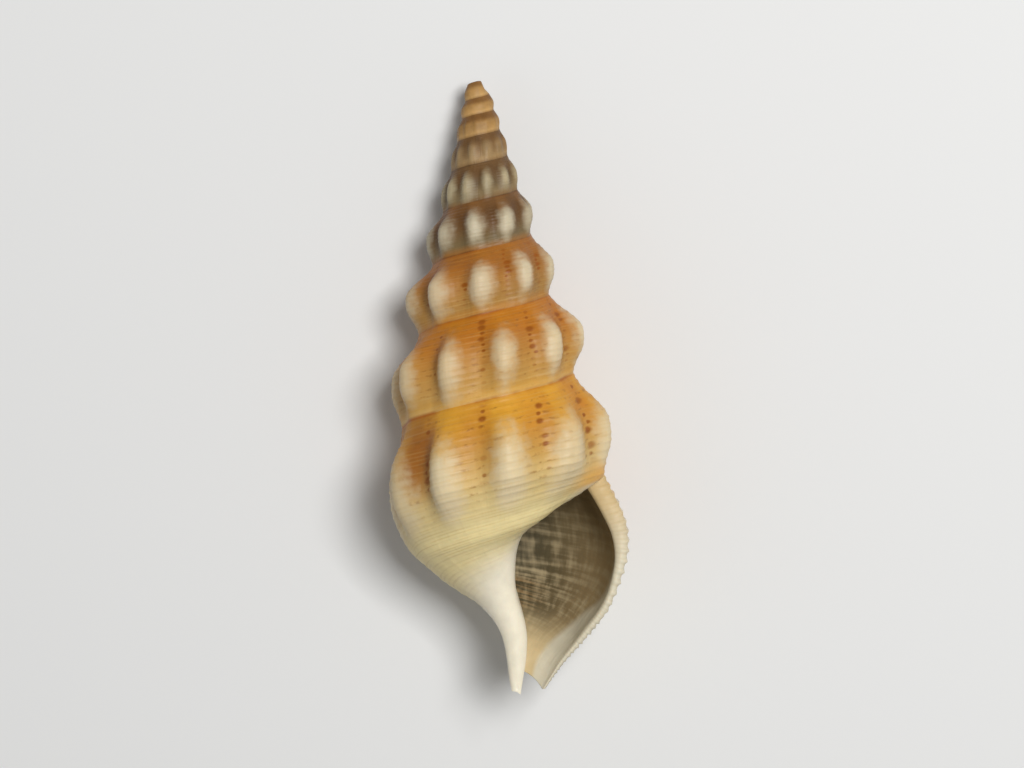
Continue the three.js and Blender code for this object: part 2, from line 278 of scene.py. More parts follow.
@dataclass
class ShellForm:
    """The shell's outline at every growth stage, without ribs or threads."""

    growth: Growth = field(default_factory=Growth)
    ribs: Ribs = field(default_factory=Ribs)
    aperture: Aperture = field(default_factory=Aperture)

    def whorl_point(self, turn: np.ndarray, across: np.ndarray) -> Profile:
        """Outside of a whorl between its two sutures.

        Args:
            turn: Growth stage, in turns from the apex.
            across: Place across the whorl.

        Returns:
            Radii and depths, in millimetres.
        """
        upper = self.growth.cone_point(turn)
        lower = self.growth.cone_point(turn + 1)
        ideal = self.growth.cone_point(turn + across)
        risen = smooth(0, self.growth.apex_turns, turn)
        radius, depth = (mix(mix(a, b, across), c, risen) for a, b, c in zip(upper, lower, ideal))
        keel = along(self.ribs.keel_heights, turn / self.growth.whorls) * along(self.ribs.keel_shape, across)
        done = np.clip(turn - self.growth.last_turn, 0, 1)
        early = self.aperture.early_tuck
        tuck = self.aperture.tuck * done * (early - (early - 1) * done)
        return radius + self.growth.size(turn) * keel - tuck * across ** 3, depth

    def neck_point(self, turn: np.ndarray, place: np.ndarray) -> Profile:
        """Base, neck and canal of the last whorl, between its three known outlines.

        Args:
            turn: Growth stage, in turns from the apex.
            place: Place from 0 to 1 along the outline.

        Returns:
            Radii and depths, in millimetres.
        """
        u = turn - self.growth.last_turn
        weights = (2 * (u - 0.5) * (u - 1), 4 * u * (1 - u), 2 * u * (u - 0.5))
        opening = self.aperture
        known = [outline_at(o, place) for o in (opening.inner_lip, opening.left_neck, opening.lip_neck)]
        radius, depth = (sum(w * outline[k] for w, outline in zip(weights, known)) for k in (0, 1))
        half = np.clip(2 * u - 1, 0, 1)
        return radius, depth - opening.notch_depth * 4 * half * (1 - half) * place ** 3

    def pillar_point(self, turn: np.ndarray, place: np.ndarray) -> Profile:
        """Wall that the cavity shares with the turn before it: the inner lip, grown smaller.

        Args:
            turn: Growth stage, in turns from the apex.
            place: Place from 0 to 1 along the outline.

        Returns:
            Radii and depths, in millimetres.
        """
        scale = self.growth.growth ** (turn - self.growth.last_turn)
        radius, depth = outline_at(self.aperture.inner_lip, place)
        return radius * scale, (depth + self.growth.blunting) * scale - self.growth.blunting

    def sharp_outside(self, turn: np.ndarray, across: np.ndarray) -> Profile:
        """Outside from the upper suture to the canal's end, with a corner where the base begins.

        Args:
            turn: Growth stage, in turns from the apex.
            across: Place across the whorl.

        Returns:
            Radii and depths, in millimetres.
        """
        place = np.clip(across - 1, 0, 1)
        whorl = self.whorl_point(turn, np.clip(across, 0, 1))
        join = self.whorl_point(turn, np.ones_like(turn))
        neck = self.neck_point(turn, place)
        neck_start = self.neck_point(turn, np.zeros_like(turn))
        pillar = self.pillar_point(turn, place)
        old = turn < self.growth.last_turn
        low = across > 1
        found = []
        for k in (0, 1):
            base = neck[k] + (1 - place) ** 3 * (join[k] - neck_start[k])
            found.append(np.where(low, np.where(old, pillar[k], base), whorl[k]))
        return found[0], found[1]

    def smooth_outside(self, turn: np.ndarray, across: np.ndarray) -> Profile:
        """The same, with the last whorl rounded where its base begins.

        Args:
            turn: Growth stage, in turns from the apex.
            across: Place across the whorl.

        Returns:
            Radii and depths, in millimetres.
        """
        opening = self.aperture
        grown = turn - self.growth.last_turn
        half = mix(opening.lip_roundness, 1, smooth(*opening.rounding_end, grown))
        young = half * smooth(0, opening.rounding_start, grown)
        here = smooth(*opening.rounding_above, across) * smooth(*opening.rounding_below, across)
        span = opening.base_rounding * young * here
        near = [self.sharp_outside(turn, across + shift * span) for shift in np.linspace(-1, 1, 5)]
        radius, depth = (sum(p[k] for p in near) / len(near) for k in (0, 1))
        return radius, depth

    def offset_inside(self, turn: np.ndarray, across: np.ndarray) -> Profile:
        """Inside of the outer wall, before its top is drawn to the cavity's corner.

        Args:
            turn: Growth stage, in turns from the apex.
            across: Place across the whorl.

        Returns:
            Radii and depths, in millimetres.
        """
        opening = self.aperture
        canal_start = self.growth.whorls - opening.canal_turns
        drawn = smooth(canal_start - opening.canal_closing, canal_start, turn)
        place = across * mix(opening.closed_reach, 2, drawn) / 2
        step = 0.01
        before = self.smooth_outside(turn, np.maximum(0, place - step))
        after = self.smooth_outside(turn, np.minimum(2, place + step))
        run = np.hypot(after[0] - before[0], after[1] - before[1])
        radius, depth = self.smooth_outside(turn, place)
        lip = mix(opening.lip_wall_top, opening.lip_wall, smooth(*opening.lip_thinning, across))
        body = mix(opening.wall, lip, np.exp((turn - self.growth.whorls) / opening.lip_wall_turns))
        wall = mix(body, opening.canal_wall, smooth(*opening.canal_thinning, across))
        wall = wall * self.growth.size(turn)
        end = smooth(*opening.canal_floor, across) * drawn
        inward = (-(after[1] - before[1]) / run, (after[0] - before[0]) / run)
        return radius + wall * inward[0], depth + wall * inward[1] * (1 - end)

    def inside(self, turn: np.ndarray, across: np.ndarray) -> Profile:
        """Inside of the outer wall, from the cavity's top corner to its bottom.

        Args:
            turn: Growth stage, in turns from the apex.
            across: Place across the whorl.

        Returns:
            Radii and depths, in millimetres.
        """
        opening = self.aperture
        corner = self.smooth_outside(turn - 1, np.full_like(turn, 1 + opening.join_place))
        wall = self.offset_inside(turn, across)
        share = smooth(*opening.corner_drawn, across) * smooth(*opening.corner_edge, across)
        return mix(corner[0], wall[0], share), mix(corner[1], wall[1], share)

    def pillar_end(self, turn: np.ndarray) -> Profile:
        """Bottom of the pillar, at the stages of the cavity around it.

        Args:
            turn: Growth stage, in turns from the apex.

        Returns:
            Radii and depths, in millimetres.
        """
        canal_start = np.full_like(turn, self.growth.whorls - self.aperture.canal_turns)
        back = (self.growth.whorls - turn) / self.aperture.canal_turns
        two = np.full_like(turn, 2.0)
        closed = self.offset_inside(turn, two)
        opened = self.offset_inside(canal_start, two)
        tip = self.aperture.inner_lip[-1]
        radius, depth = (
            np.where(turn <= canal_start, closed[k], mix(tip[k], opened[k], back)) for k in (0, 1)
        )
        return radius, depth

    def outside(self, turn: np.ndarray, across: np.ndarray) -> Profile:
        """The whole outside, with the pillar's bottom drawn to the cavity's bottom edge.

        Args:
            turn: Growth stage, in turns from the apex.
            across: Place across the whorl.

        Returns:
            Radii and depths, in millimetres.
        """
        radius, depth = self.smooth_outside(turn, across)
        pillar = (turn < self.growth.last_turn) & (across > 1)
        place = np.clip(across - 1, 0, 1)
        bottom = self.pillar_point(turn, np.ones_like(turn))
        wanted = self.pillar_end(turn + 1)
        drawn = [np.where(pillar, place ** 3 * (wanted[k] - bottom[k]), 0) for k in (0, 1)]
        return radius + drawn[0], depth + drawn[1]

    def lip_turn(self, turn: np.ndarray, across: np.ndarray) -> np.ndarray:
        """Stage at which a point is coiled: the lip's edge bulges forward between its ends.

        Args:
            turn: Growth stage, in turns from the apex.
            across: Place across the whorl.

        Returns:
            The stages.
        """
        whorls = self.growth.whorls
        reach = self.aperture.lip_reach * np.sin(np.pi * across / 2)
        return turn + reach * smooth(whorls - self.aperture.lip_bulge_turns, whorls, turn)


@dataclass
class ShellNet:
    """The net of growth stages: sheets of rows and columns that share their edges."""

    form: ShellForm
    threads: Threads
    steps: int = 96
    whorl_rows: int = 84
    join_rows: int = 5
    neck_rows: int = 60

    def __post_init__(self) -> None:
        """Starts the lists of points, and of faces with their corners' places."""
        self.turn: list[np.ndarray] = []
        self.across: list[np.ndarray] = []
        self.zone: list[np.ndarray] = []
        self.total = 0
        self.faces: list[np.ndarray] = []
        self.corner_turn: list[np.ndarray] = []
        self.corner_across: list[np.ndarray] = []
        self.corner_zone: list[np.ndarray] = []
        self.hubs: list[tuple[int, list[int]]] = []

    @property
    def rows(self) -> int:
        """Rows from the upper suture to the canal's end."""
        return self.whorl_rows + self.neck_rows

    @property
    def last(self) -> int:
        """Step of the lip."""
        return self.form.growth.whorls * self.steps

    @property
    def place_of_row(self) -> np.ndarray:
        """Place across the whorl of every row.

        Returns:
            The places, one for each row.
        """
        join = self.form.aperture.join_place
        whorl = np.linspace(0, 1, self.whorl_rows + 1)
        corner = 1 + np.linspace(0, join, self.join_rows + 1)[1:]
        neck = 1 + np.linspace(join, 1, self.neck_rows - self.join_rows + 1)[1:]
        return np.concatenate([whorl, corner, neck])

    def add(self, ids: np.ndarray, steps: slice, rows: slice, zone: Zone) -> None:
        """Gives new numbers to a block of a sheet's points.

        Args:
            ids: The sheet's numbers, one row per step.
            steps: Steps of the block.
            rows: Rows of the block.
            zone: Surface that the block lies on.
        """
        block = ids[steps, rows]
        count = block.size
        ids[steps, rows] = self.total + np.arange(count).reshape(block.shape)
        turn, across = np.meshgrid(
            np.arange(ids.shape[0])[steps] / self.steps, self.place_of_row[rows], indexing="ij"
        )
        self.turn.append(turn.ravel())
        self.across.append(across.ravel())
        self.zone.append(np.full(count, zone.value))
        self.total += count

    def lay(
        self, ids: np.ndarray, turn: np.ndarray, across: np.ndarray, zone: Zone, over: bool = False
    ) -> None:
        """Lays four-sided faces over a block of numbers.

        Args:
            ids: The block's point numbers.
            turn: Growth stage of each point of the block, as its faces see it.
            across: Place across the whorl of each point of the block.
            zone: Surface that the faces lie on.
            over: Whether the faces look the other way.
        """
        def corners(grid: np.ndarray) -> np.ndarray:
            """A value at the four corners of every face, one row per face."""
            ring = [grid[:-1, :-1], grid[1:, :-1], grid[1:, 1:], grid[:-1, 1:]]
            ring = ring[::-1] if over else ring
            return np.stack([part.ravel() for part in ring], 1)

        faces = corners(ids)
        self.faces.extend(faces.tolist())
        self.corner_turn.append(corners(turn).ravel())
        self.corner_across.append(corners(across).ravel())
        self.corner_zone.append(np.full(faces.size, zone.value))

    def triangle(self, ids: tuple[int, int, int], turn: float, across: float, zone: Zone) -> None:
        """Lays one three-sided face that has the same stage and place at each corner.

        Args:
            ids: Numbers of the face's points.
            turn: Growth stage, in turns from the apex.
            across: Place across the whorl.
            zone: Surface that it lies on.
        """
        if len(set(ids)) < 3:
            return
        self.faces.append(list(ids))
        self.corner_turn.append(np.full(3, turn))
        self.corner_across.append(np.full(3, across))
        self.corner_zone.append(np.full(3, zone.value))

    def fan(self, ring: list[int], turn: float, across: float, zone: Zone) -> None:
        """Closes a ring by triangles round a new point in its middle.

        Args:
            ring: Point numbers, in the order that the faces need.
            turn: Growth stage of the faces.
            across: Place across the whorl of the faces.
            zone: Surface that the faces lie on.
        """
        hub = self.total
        self.hubs.append((hub, ring))
        self.turn.append(np.array([turn]))
        self.across.append(np.array([across]))
        self.zone.append(np.array([zone.value]))
        self.total += 1
        for a, b in zip(ring, ring[1:] + ring[:1]):
            self.triangle((hub, a, b), turn, across, zone)

    def build(self) -> None:
        """Numbers every point and lays every sheet."""
        n, m, j, rows, last = self.steps, self.whorl_rows, self.join_rows, self.rows, self.last
        start = last - n
        deep = last - round(self.form.aperture.cavity_turns * n)
        canal = int((self.form.growth.whorls - self.form.aperture.canal_turns) * n)
        outer = np.full((last + 1, rows + 1), -1)
        inner = np.full((last + 1, rows + 1), -1)
        self.add(outer, slice(0, last + 1), slice(0, m), Zone.OUTSIDE)
        self.add(outer, slice(start + 1, last + 1), slice(m, m + 1), Zone.OUTSIDE)
        outer[: start + 1, m] = outer[n:, 0]
        self.add(outer, slice(start, last + 1), slice(m + 1, rows + 1), Zone.OUTSIDE)
        self.add(outer, slice(deep - n, start), slice(m + j, rows + 1), Zone.OUTSIDE)
        self.add(inner, slice(deep, last + 1), slice(1, rows), Zone.CAVITY)
        inner[deep:, 0] = outer[deep - n : start + 1, m + j]
        inner[deep : canal + 1, rows] = outer[deep - n : canal - n + 1, rows]
        self.add(inner, slice(canal + 1, last + 1), slice(rows, rows + 1), Zone.CAVITY)
        rim = np.full((rows + 1, j + 1), -1)
        rim[:, 0] = outer[last]
        rim[:, j] = inner[last]
        rim[0] = outer[start, m : m + j + 1]
        self.number_rim(rim)
        steps = np.arange(last + 1) / n
        turn, across = np.meshgrid(steps, self.place_of_row, indexing="ij")
        for ids, s, r, zone, over in (
            (outer, slice(0, last + 1), slice(0, m + 1), Zone.OUTSIDE, False),
            (outer, slice(start, last + 1), slice(m, rows + 1), Zone.OUTSIDE, False),
            (outer, slice(deep - n, start + 1), slice(m + j, rows + 1), Zone.OUTSIDE, False),
            (inner, slice(deep, last + 1), slice(0, rows + 1), Zone.CAVITY, True),
        ):
            self.lay(ids[s, r], turn[s, r], across[s, r], zone, over)
        lip = np.full(rim.shape, float(self.form.growth.whorls))
        self.lay(rim, lip, np.repeat(self.place_of_row[:, None], j + 1, 1), Zone.RIM, True)
        self.close_apex(outer)
        self.close_tips(outer, inner, rim, canal)
        ring = list(inner[deep, : rows + 1]) + list(outer[deep - n, m + j + 1 : rows][::-1])
        self.fan([int(k) for k in ring], deep / n, 1.0, Zone.CAVITY)

    def number_rim(self, rim: np.ndarray) -> None:
        """Gives new numbers to the points between the lip's two edges.

        Args:
            rim: Numbers of the lip's points, one row per place.
        """
        middle = rim[1:, 1:-1]
        rings = np.linspace(0, 1, rim.shape[1])
        across, self.rim_share = (
            grid[1:, 1:-1].ravel() for grid in np.meshgrid(self.place_of_row, rings, indexing="ij")
        )
        self.rim_ids = self.total + np.arange(middle.size)
        middle[:] = self.rim_ids.reshape(middle.shape)
        self.turn.append(np.full(middle.size, float(self.form.growth.whorls)))
        self.across.append(across)
        self.zone.append(np.full(middle.size, Zone.RIM.value))
        self.total += middle.size

    def close_apex(self, outer: np.ndarray) -> None:
        """Closes the apex by a fan from its centre, and by another over the first whorl's start.

        Args:
            outer: Numbers of the outside's points.
        """
        centre = int(outer[0, 0])
        pivot = int(outer[self.steps - 1, 0])
        for step in range(self.steps - 1):
            a, b = int(outer[step + 1, 0]), int(outer[step, 0])
            self.triangle((centre, a, b), 0.0, 0.0, Zone.OUTSIDE)
        for row in range(self.whorl_rows):
            a, b = int(outer[0, row]), int(outer[0, row + 1])
            self.triangle((pivot, a, b), 0.0, 0.5, Zone.OUTSIDE)

    def close_tips(self, outer: np.ndarray, inner: np.ndarray, rim: np.ndarray, canal: int) -> None:
        """Closes the canal's end: a strip under the outer wall and a fan under the pillar.

        Args:
            outer: Numbers of the outside's points.
            inner: Numbers of the cavity's points.
            rim: Numbers of the lip's points, one row per place.
            canal: Step where the canal opens.
        """
        rows, n, last = self.rows, self.steps, self.last
        edge = np.stack([outer[canal : last + 1, rows], inner[canal : last + 1, rows]], 1)
        turn = np.repeat(np.arange(canal, last + 1)[:, None] / n, 2, 1)
        self.lay(edge, turn, np.full(edge.shape, 2.0), Zone.RIM)
        lip_end = [int(k) for k in rim[rows]]
        for a, b in zip(lip_end[1:-1], lip_end[2:]):
            self.triangle((lip_end[0], a, b), float(self.form.growth.whorls), 2.0, Zone.RIM)
        ring = [int(k) for k in outer[canal - n : canal + 1, rows]]
        self.fan(ring[::-1], float(self.form.growth.last_turn), 2.0, Zone.OUTSIDE)

    def profile(self) -> dict[str, np.ndarray]:
        """Works out every point's radius and depth, and how much relief it may carry.

        Returns:
            The point attributes that the coiling tree reads, by name.
        """
        form, ribs, whorls = self.form, self.form.ribs, self.form.growth.whorls
        turn, across, zone = (np.concatenate(part) for part in (self.turn, self.across, self.zone))
        radius, depth = form.outside(turn, across)
        in_radius, in_depth = form.inside(turn, across)
        cavity = zone == Zone.CAVITY.value
        rim = zone == Zone.RIM.value
        share = np.zeros_like(turn)
        share[self.rim_ids] = self.rim_share
        share[cavity] = 1.0
        radius, depth = mix(radius, in_radius, share), mix(depth, in_depth, share)
        stage = form.lip_turn(turn, across)
        forward = form.aperture.lip_rounding * np.sin(np.pi * share) / (TURN * np.maximum(radius, 1))
        stage = np.where(rim, stage + forward, stage)
        for hub, ring in self.hubs:
            for values in (radius, depth, stage):
                values[hub] = values[ring].mean()
        own = np.where(across <= 1, along(ribs.shape, across), 0)
        below = np.clip(1 - (across - 1) / ribs.wave_below, 0, 1)
        own = np.where(across > 1, ribs.suture_wave * below ** 2, own)
        above = ribs.suture_wave * np.clip(1 - across / ribs.wave_above, 0, 1) ** 2
        plain = cavity | rim | ((turn < form.growth.last_turn) & (across > 1))
        height = along(ribs.heights, turn / whorls) * form.growth.size(turn)
        height_above = along(ribs.heights, np.maximum(turn - 1, 0) / whorls) * form.growth.size(turn - 1)
        threads = self.threads
        fine = threads.height * smooth(*threads.young_turns, turn)
        at_lip = np.exp((turn - whorls) / threads.lip_turns)
        fine = mix(fine, threads.lip_height, at_lip) * form.growth.size(turn)
        fine = fine * (1 - smooth(*threads.end_places, across)) * smooth(*threads.top_places, across)
        edge = threads.callus_start + threads.callus_slope * (turn - form.growth.last_turn)
        callus = smooth(*threads.callus_edge, across - edge) * smooth(*threads.callus_turns, turn)
        fine = np.where(turn >= form.growth.last_turn, fine * (1 - callus), fine)
        fine = np.where(plain, np.where(rim, fine * (1 - share) ** 2, 0), fine)
        return {
            "coil_turn": stage,
            "coil_radius": radius,
            "coil_depth": depth,
            "rib_own": np.where(plain, 0, own * height),
            "rib_above": np.where(plain | (turn < 1), 0, above * height_above),
            "rib_count": ribs.count(turn),
            "rib_count_above": ribs.count(turn - 1),
            "thread_height": fine,
            "thread_count": self.thread_count(across),
            "thread_split": smooth(*threads.split_turns, turn),
        }

    def thread_count(self, across: np.ndarray) -> np.ndarray:
        """Number of spiral threads passed since the upper suture, whole on a thread's crest."""
        base = self.threads.on_base * np.maximum(across - 1, 0)
        return self.threads.on_whorl * np.minimum(across, 1) + base + 0.5

    def mesh(self, name: str) -> bpy.types.Mesh:
        """Builds the flat net as a mesh that carries all its attributes.

        Args:
            name: The mesh's name.

        Returns:
            The mesh, with its points still in one place.
        """
        self.build()
        mesh = bpy.data.meshes.new(name)
        mesh.from_pydata(np.zeros((self.total, 3)).tolist(), [], self.faces)
        for key, values in self.profile().items():
            mesh.attributes.new(key, "FLOAT", "POINT").data.foreach_set("value", values.astype(np.float32))
        turn, across, zone = (
            np.concatenate(part) for part in (self.corner_turn, self.corner_across, self.corner_zone)
        )
        corners = {
            "stage": turn,
            "place": across,
            "ribs": self.form.ribs.count(turn),
            "threads": self.thread_count(across),
            "zone": zone.astype(float),
        }
        for key, values in corners.items():
            mesh.attributes.new(key, "FLOAT", "CORNER").data.foreach_set("value", values.astype(np.float32))
        mesh.polygons.foreach_set("use_smooth", np.ones(len(mesh.polygons), bool))
        return mesh


@dataclass
class Rest:
    """How the shell lies: turned in degrees from its own frame, with its lowest ribs worn flat."""

    tilt: float = 11.93
    roll: float = 8.86
    worn_flat: float = 0.12

    @property
    def turned(self) -> Matrix:
        """Rotation from the shell's own frame to the ground's."""
        tilted = Matrix.Rotation(math.radians(-self.tilt), 3, "X")
        return tilted @ Matrix.Rotation(math.radians(self.roll), 3, "Y")

    def offset(self, points: np.ndarray) -> Vector:
        """Shift that centres turned points over the origin and sinks them by the worn flat.

        Args:
            points: Points in the shell's own frame, in millimetres.

        Returns:
            The shift, in millimetres.
        """
        laid = points @ np.array(self.turned).T
        low, high = laid.min(0), laid.max(0)
        return Vector((-(low[0] + high[0]) / 2, -(low[1] + high[1]) / 2, -low[2] - self.worn_flat))


class Tree:
    """Short ways to add nodes and links to a node tree."""

    def __init__(self, nodes: bpy.types.NodeTree) -> None:
        """Starts from an existing tree.

        Args:
            nodes: The tree to add to.
        """
        self.nodes = nodes

    def add(self, kind: str, inputs: dict | None = None, **settings: object) -> bpy.types.Node:
        """Adds one node.

        Args:
            kind: The node's type.
            inputs: Values or sockets by the input's name or number.
            **settings: Properties of the node.

        Returns:
            The new node.
        """
        node = self.nodes.nodes.new(kind)
        for key, value in settings.items():
            setattr(node, key, value)
        for key, value in (inputs or {}).items():
            self.feed(node.inputs[key], value)
        return node

    def feed(self, socket: bpy.types.NodeSocket, value: object) -> None:
        """Links a socket into an input, or sets the input's value.

        Args:
            socket: The input.
            value: A socket or a plain value.
        """
        if isinstance(value, bpy.types.NodeSocket):
            self.nodes.links.new(value, socket)
        else:
            socket.default_value = value

    def math(self, operation: str, *values: object) -> Socket:
        """Adds a Math node and returns its result.

        Args:
            operation: Kind of the Math node.
            *values: Sockets or plain values.

        Returns:
            The result.
        """
        node = self.add("ShaderNodeMath", operation=operation)
        for socket, value in zip(node.inputs, values):
            self.feed(socket, value)
        return node.outputs[0]

    def step(self, value: object, span: Span, out: Span = WHOLE) -> Socket:
        """Adds a smooth step of a value over a span.

        Args:
            value: What is read.
            span: Where the step starts and ends; it may run downwards.
            out: Results at its start and its end.

        Returns:
            The step's result.
        """
        if span[0] > span[1]:
            span, out = span[::-1], out[::-1]
        node = self.add("ShaderNodeMapRange", interpolation_type="SMOOTHSTEP")
        for socket, part in zip(node.inputs, (value, *span, *out)):
            self.feed(socket, part)
        return node.outputs[0]

    def times(self, *values: object) -> Socket:
        """Product of two or more values.

        Args:
            *values: Sockets or plain values.

        Returns:
            The product.
        """
        result = values[0]
        for value in values[1:]:
            result = self.math("MULTIPLY", result, value)
        return result

    def centred(self, value: object) -> Socket:
        """A value that runs around 0.5, moved to run around 0."""
        return self.math("SUBTRACT", value, 0.5)

    def length(self, a: object, b: object) -> Socket:
        """Length of the way that goes a in one direction and b across it."""
        return self.math("SQRT", self.math("ADD", self.times(a, a), self.times(b, b)))


@dataclass
class CoilingTree:
    """Geometry Nodes that coil the net, raise its relief and lay it on the ground."""

    name: str = "coil_and_rib_shell"
    rib_height: float = 1.0
    thread_height: float = 1.0
    unevenness: float = 0.06
    unevenness_scale: float = 0.5
    seed: float = 7.0
    relief_edge: Span = (0.0, 0.02)
    split_height: float = 0.7
    patch_scale: float = 2.5
    patch_noise: Span = (0.25, 0.75)
    patch_height: Span = (0.35, 1.3)

    def attribute(self, tree: Tree, name: str) -> Socket:
        """Reads one of the net's point attributes."""
        return tree.add("GeometryNodeInputNamedAttribute", {"Name": name}, data_type="FLOAT").outputs[0]

    def noise(self, tree: Tree, seed: Socket, scale: Socket, detail: float) -> Socket:
        """Noise around 0.5 on the coiled points."""
        inputs = {"W": seed, "Scale": scale, "Detail": detail}
        return tree.add("ShaderNodeTexNoise", inputs, noise_dimensions="4D").outputs[0]

    def crest(self, tree: Tree, count: object, given: bpy.types.NodeOutputs) -> Socket:
        """Share of a rib's height at a count of ribs: 1 on each crest, and below 0 in the valleys.

        Args:
            tree: The tree.
            count: Number of ribs passed.
            given: The tree's inputs.

        Returns:
            The share.
        """
        angle = tree.times(count, TURN)
        turned = tree.math("SUBTRACT", 1.0, tree.math("COSINE", angle))
        skewed = tree.math("MULTIPLY_ADD", turned, tree.times(given["Rib Skew"], 0.5), angle)
        raised = tree.math("MULTIPLY_ADD", tree.math("COSINE", skewed), 0.5, 0.5)
        share = tree.math("POWER", raised, given["Rib Sharpness"])
        fall = tree.times(tree.math("SUBTRACT", share, 1.0), given["Valley Depth"])
        return tree.math("ADD", share, fall)

    def inputs(self, ribs: Ribs, rest_turn: Values, rest_offset: Values, finish: object) -> dict[str, object]:
        """Values of the tree's named inputs.

        Args:
            ribs: The ribs, for their outline.
            rest_turn: Rotation that lays the shell down.
            rest_offset: Shift after it, in millimetres.
            finish: Material of the shell.

        Returns:
            The values, by the inputs' names.
        """
        return {
            "Rib Height": self.rib_height,
            "Rib Sharpness": ribs.sharpness,
            "Rib Skew": ribs.skew,
            "Valley Depth": ribs.valley_depth,
            "Thread Height": self.thread_height,
            "Unevenness": self.unevenness,
            "Unevenness Scale": self.unevenness_scale,
            "Seed": self.seed,
            "Rest Turn": rest_turn,
            "Rest Offset": rest_offset,
            "Finish": finish,
        }

    def coiled(self, tree: Tree, given: bpy.types.NodeOutputs, growth: Growth) -> Socket:
        """Places of the net's points round the axis, on their ribs, in millimetres.

        Args:
            tree: The tree.
            given: The tree's inputs.
            growth: The spiral, for the canal's lean.

        Returns:
            The places.
        """
        lifts = []
        for count, height in (("rib_count", "rib_own"), ("rib_count_above", "rib_above")):
            share = self.crest(tree, self.attribute(tree, count), given)
            lifts.append(tree.times(share, self.attribute(tree, height)))
        lift = tree.times(tree.math("ADD", *lifts), given["Rib Height"])
        radius = tree.math("ADD", self.attribute(tree, "coil_radius"), lift)
        angle = tree.times(self.attribute(tree, "coil_turn"), TURN)
        depth = self.attribute(tree, "coil_depth")
        sunk = tree.math("DIVIDE", tree.math("SUBTRACT", depth, growth.lean_start), growth.lean_length)
        lean = tree.times(tree.math("POWER", tree.math("MAXIMUM", sunk, 0.0), 2.0), growth.lean)
        x = tree.math("ADD", tree.times(radius, tree.math("COSINE", angle)), lean)
        z = tree.times(radius, tree.math("SINE", angle))
        return tree.add("ShaderNodeCombineXYZ", {0: x, 1: tree.times(depth, -1.0), 2: z}).outputs[0]

    def relief(self, tree: Tree, given: bpy.types.NodeOutputs) -> Socket:
        """Height of the threads and the unevenness over the ribs, in millimetres.

        Args:
            tree: The tree.
            given: The tree's inputs.

        Returns:
            The height.
        """
        seed, scale = given["Seed"], given["Unevenness Scale"]
        uneven = tree.times(tree.centred(self.noise(tree, seed, scale, 2.0)), given["Unevenness"])
        height = self.attribute(tree, "thread_height")
        count = self.attribute(tree, "thread_count")
        main_thread = tree.math("COSINE", tree.times(count, TURN))
        split_thread = tree.math("COSINE", tree.times(count, 2.0 * TURN))
        split = tree.times(self.attribute(tree, "thread_split"), self.split_height)
        thread = tree.math("MULTIPLY_ADD", split_thread, split, main_thread)
        patchy = self.noise(tree, seed, tree.times(scale, self.patch_scale), 1.0)
        thread = tree.times(thread, tree.step(patchy, self.patch_noise, self.patch_height))
        thread = tree.times(thread, height, given["Thread Height"], 0.5)
        return tree.math("ADD", thread, tree.times(uneven, tree.step(height, self.relief_edge)))

    def build(self, growth: Growth, values: dict[str, object]) -> bpy.types.NodeTree:
        """Builds the tree with its named inputs.

        Args:
            growth: The spiral, for the canal's lean.
            values: Values of the named inputs.

        Returns:
            The finished tree.
        """
        group = bpy.data.node_groups.new(self.name, "GeometryNodeTree")
        group.interface.new_socket("Geometry", in_out="INPUT", socket_type="NodeSocketGeometry")
        kinds = {"Rest Turn": "Rotation", "Rest Offset": "Vector", "Finish": "Material"}
        for name, value in values.items():
            kind = "NodeSocket" + kinds.get(name, "Float")
            group.interface.new_socket(name, in_out="INPUT", socket_type=kind).default_value = value
        group.interface.new_socket("Geometry", in_out="OUTPUT", socket_type="NodeSocketGeometry")
        tree = Tree(group)
        given = tree.add("NodeGroupInput").outputs
        coiled = self.coiled(tree, given, growth)
        body = tree.add("GeometryNodeSetPosition", {"Geometry": given["Geometry"], "Position": coiled})
        along_normal = {0: tree.add("GeometryNodeInputNormal").outputs[0], "Scale": self.relief(tree, given)}
        shift = tree.add("ShaderNodeVectorMath", along_normal, operation="SCALE").outputs[0]
        carved = tree.add("GeometryNodeSetPosition", {"Geometry": body.outputs[0], "Offset": shift})
        down = {"Translation": given["Rest Offset"], "Rotation": given["Rest Turn"]}
        laid = tree.add("GeometryNodeTransform", {"Geometry": carved.outputs[0], **down})
        here = tree.add("GeometryNodeInputPosition").outputs[0]
        x, y, z = tree.add("ShaderNodeSeparateXYZ", {0: here}).outputs
        worn = tree.add("ShaderNodeCombineXYZ", {0: x, 1: y, 2: tree.math("MAXIMUM", z, 0.0)}).outputs[0]
        metres = tree.add("ShaderNodeVectorMath", {0: worn, "Scale": MM}, operation="SCALE").outputs[0]
        grounded = tree.add("GeometryNodeSetPosition", {"Geometry": laid.outputs[0], "Position": metres})
        real = tree.add("GeometryNodeRealizeInstances", {"Geometry": grounded.outputs[0]})
        dress = {"Geometry": real.outputs[0], "Material": given["Finish"]}
        dressed = tree.add("GeometryNodeSetMaterial", dress)
        tree.add("NodeGroupOutput", {"Geometry": dressed.outputs[0]})
        return group


def linear(red: float, green: float, blue: float) -> tuple[float, float, float, float]:
    """Linear colour with alpha from a colour in the usual 0 to 255 scale."""
    channels = []
    for level in (red / 255, green / 255, blue / 255):
        channels.append(level / 12.92 if level <= 0.04045 else ((level + 0.055) / 1.055) ** 2.4)
    return (*channels, 1.0)


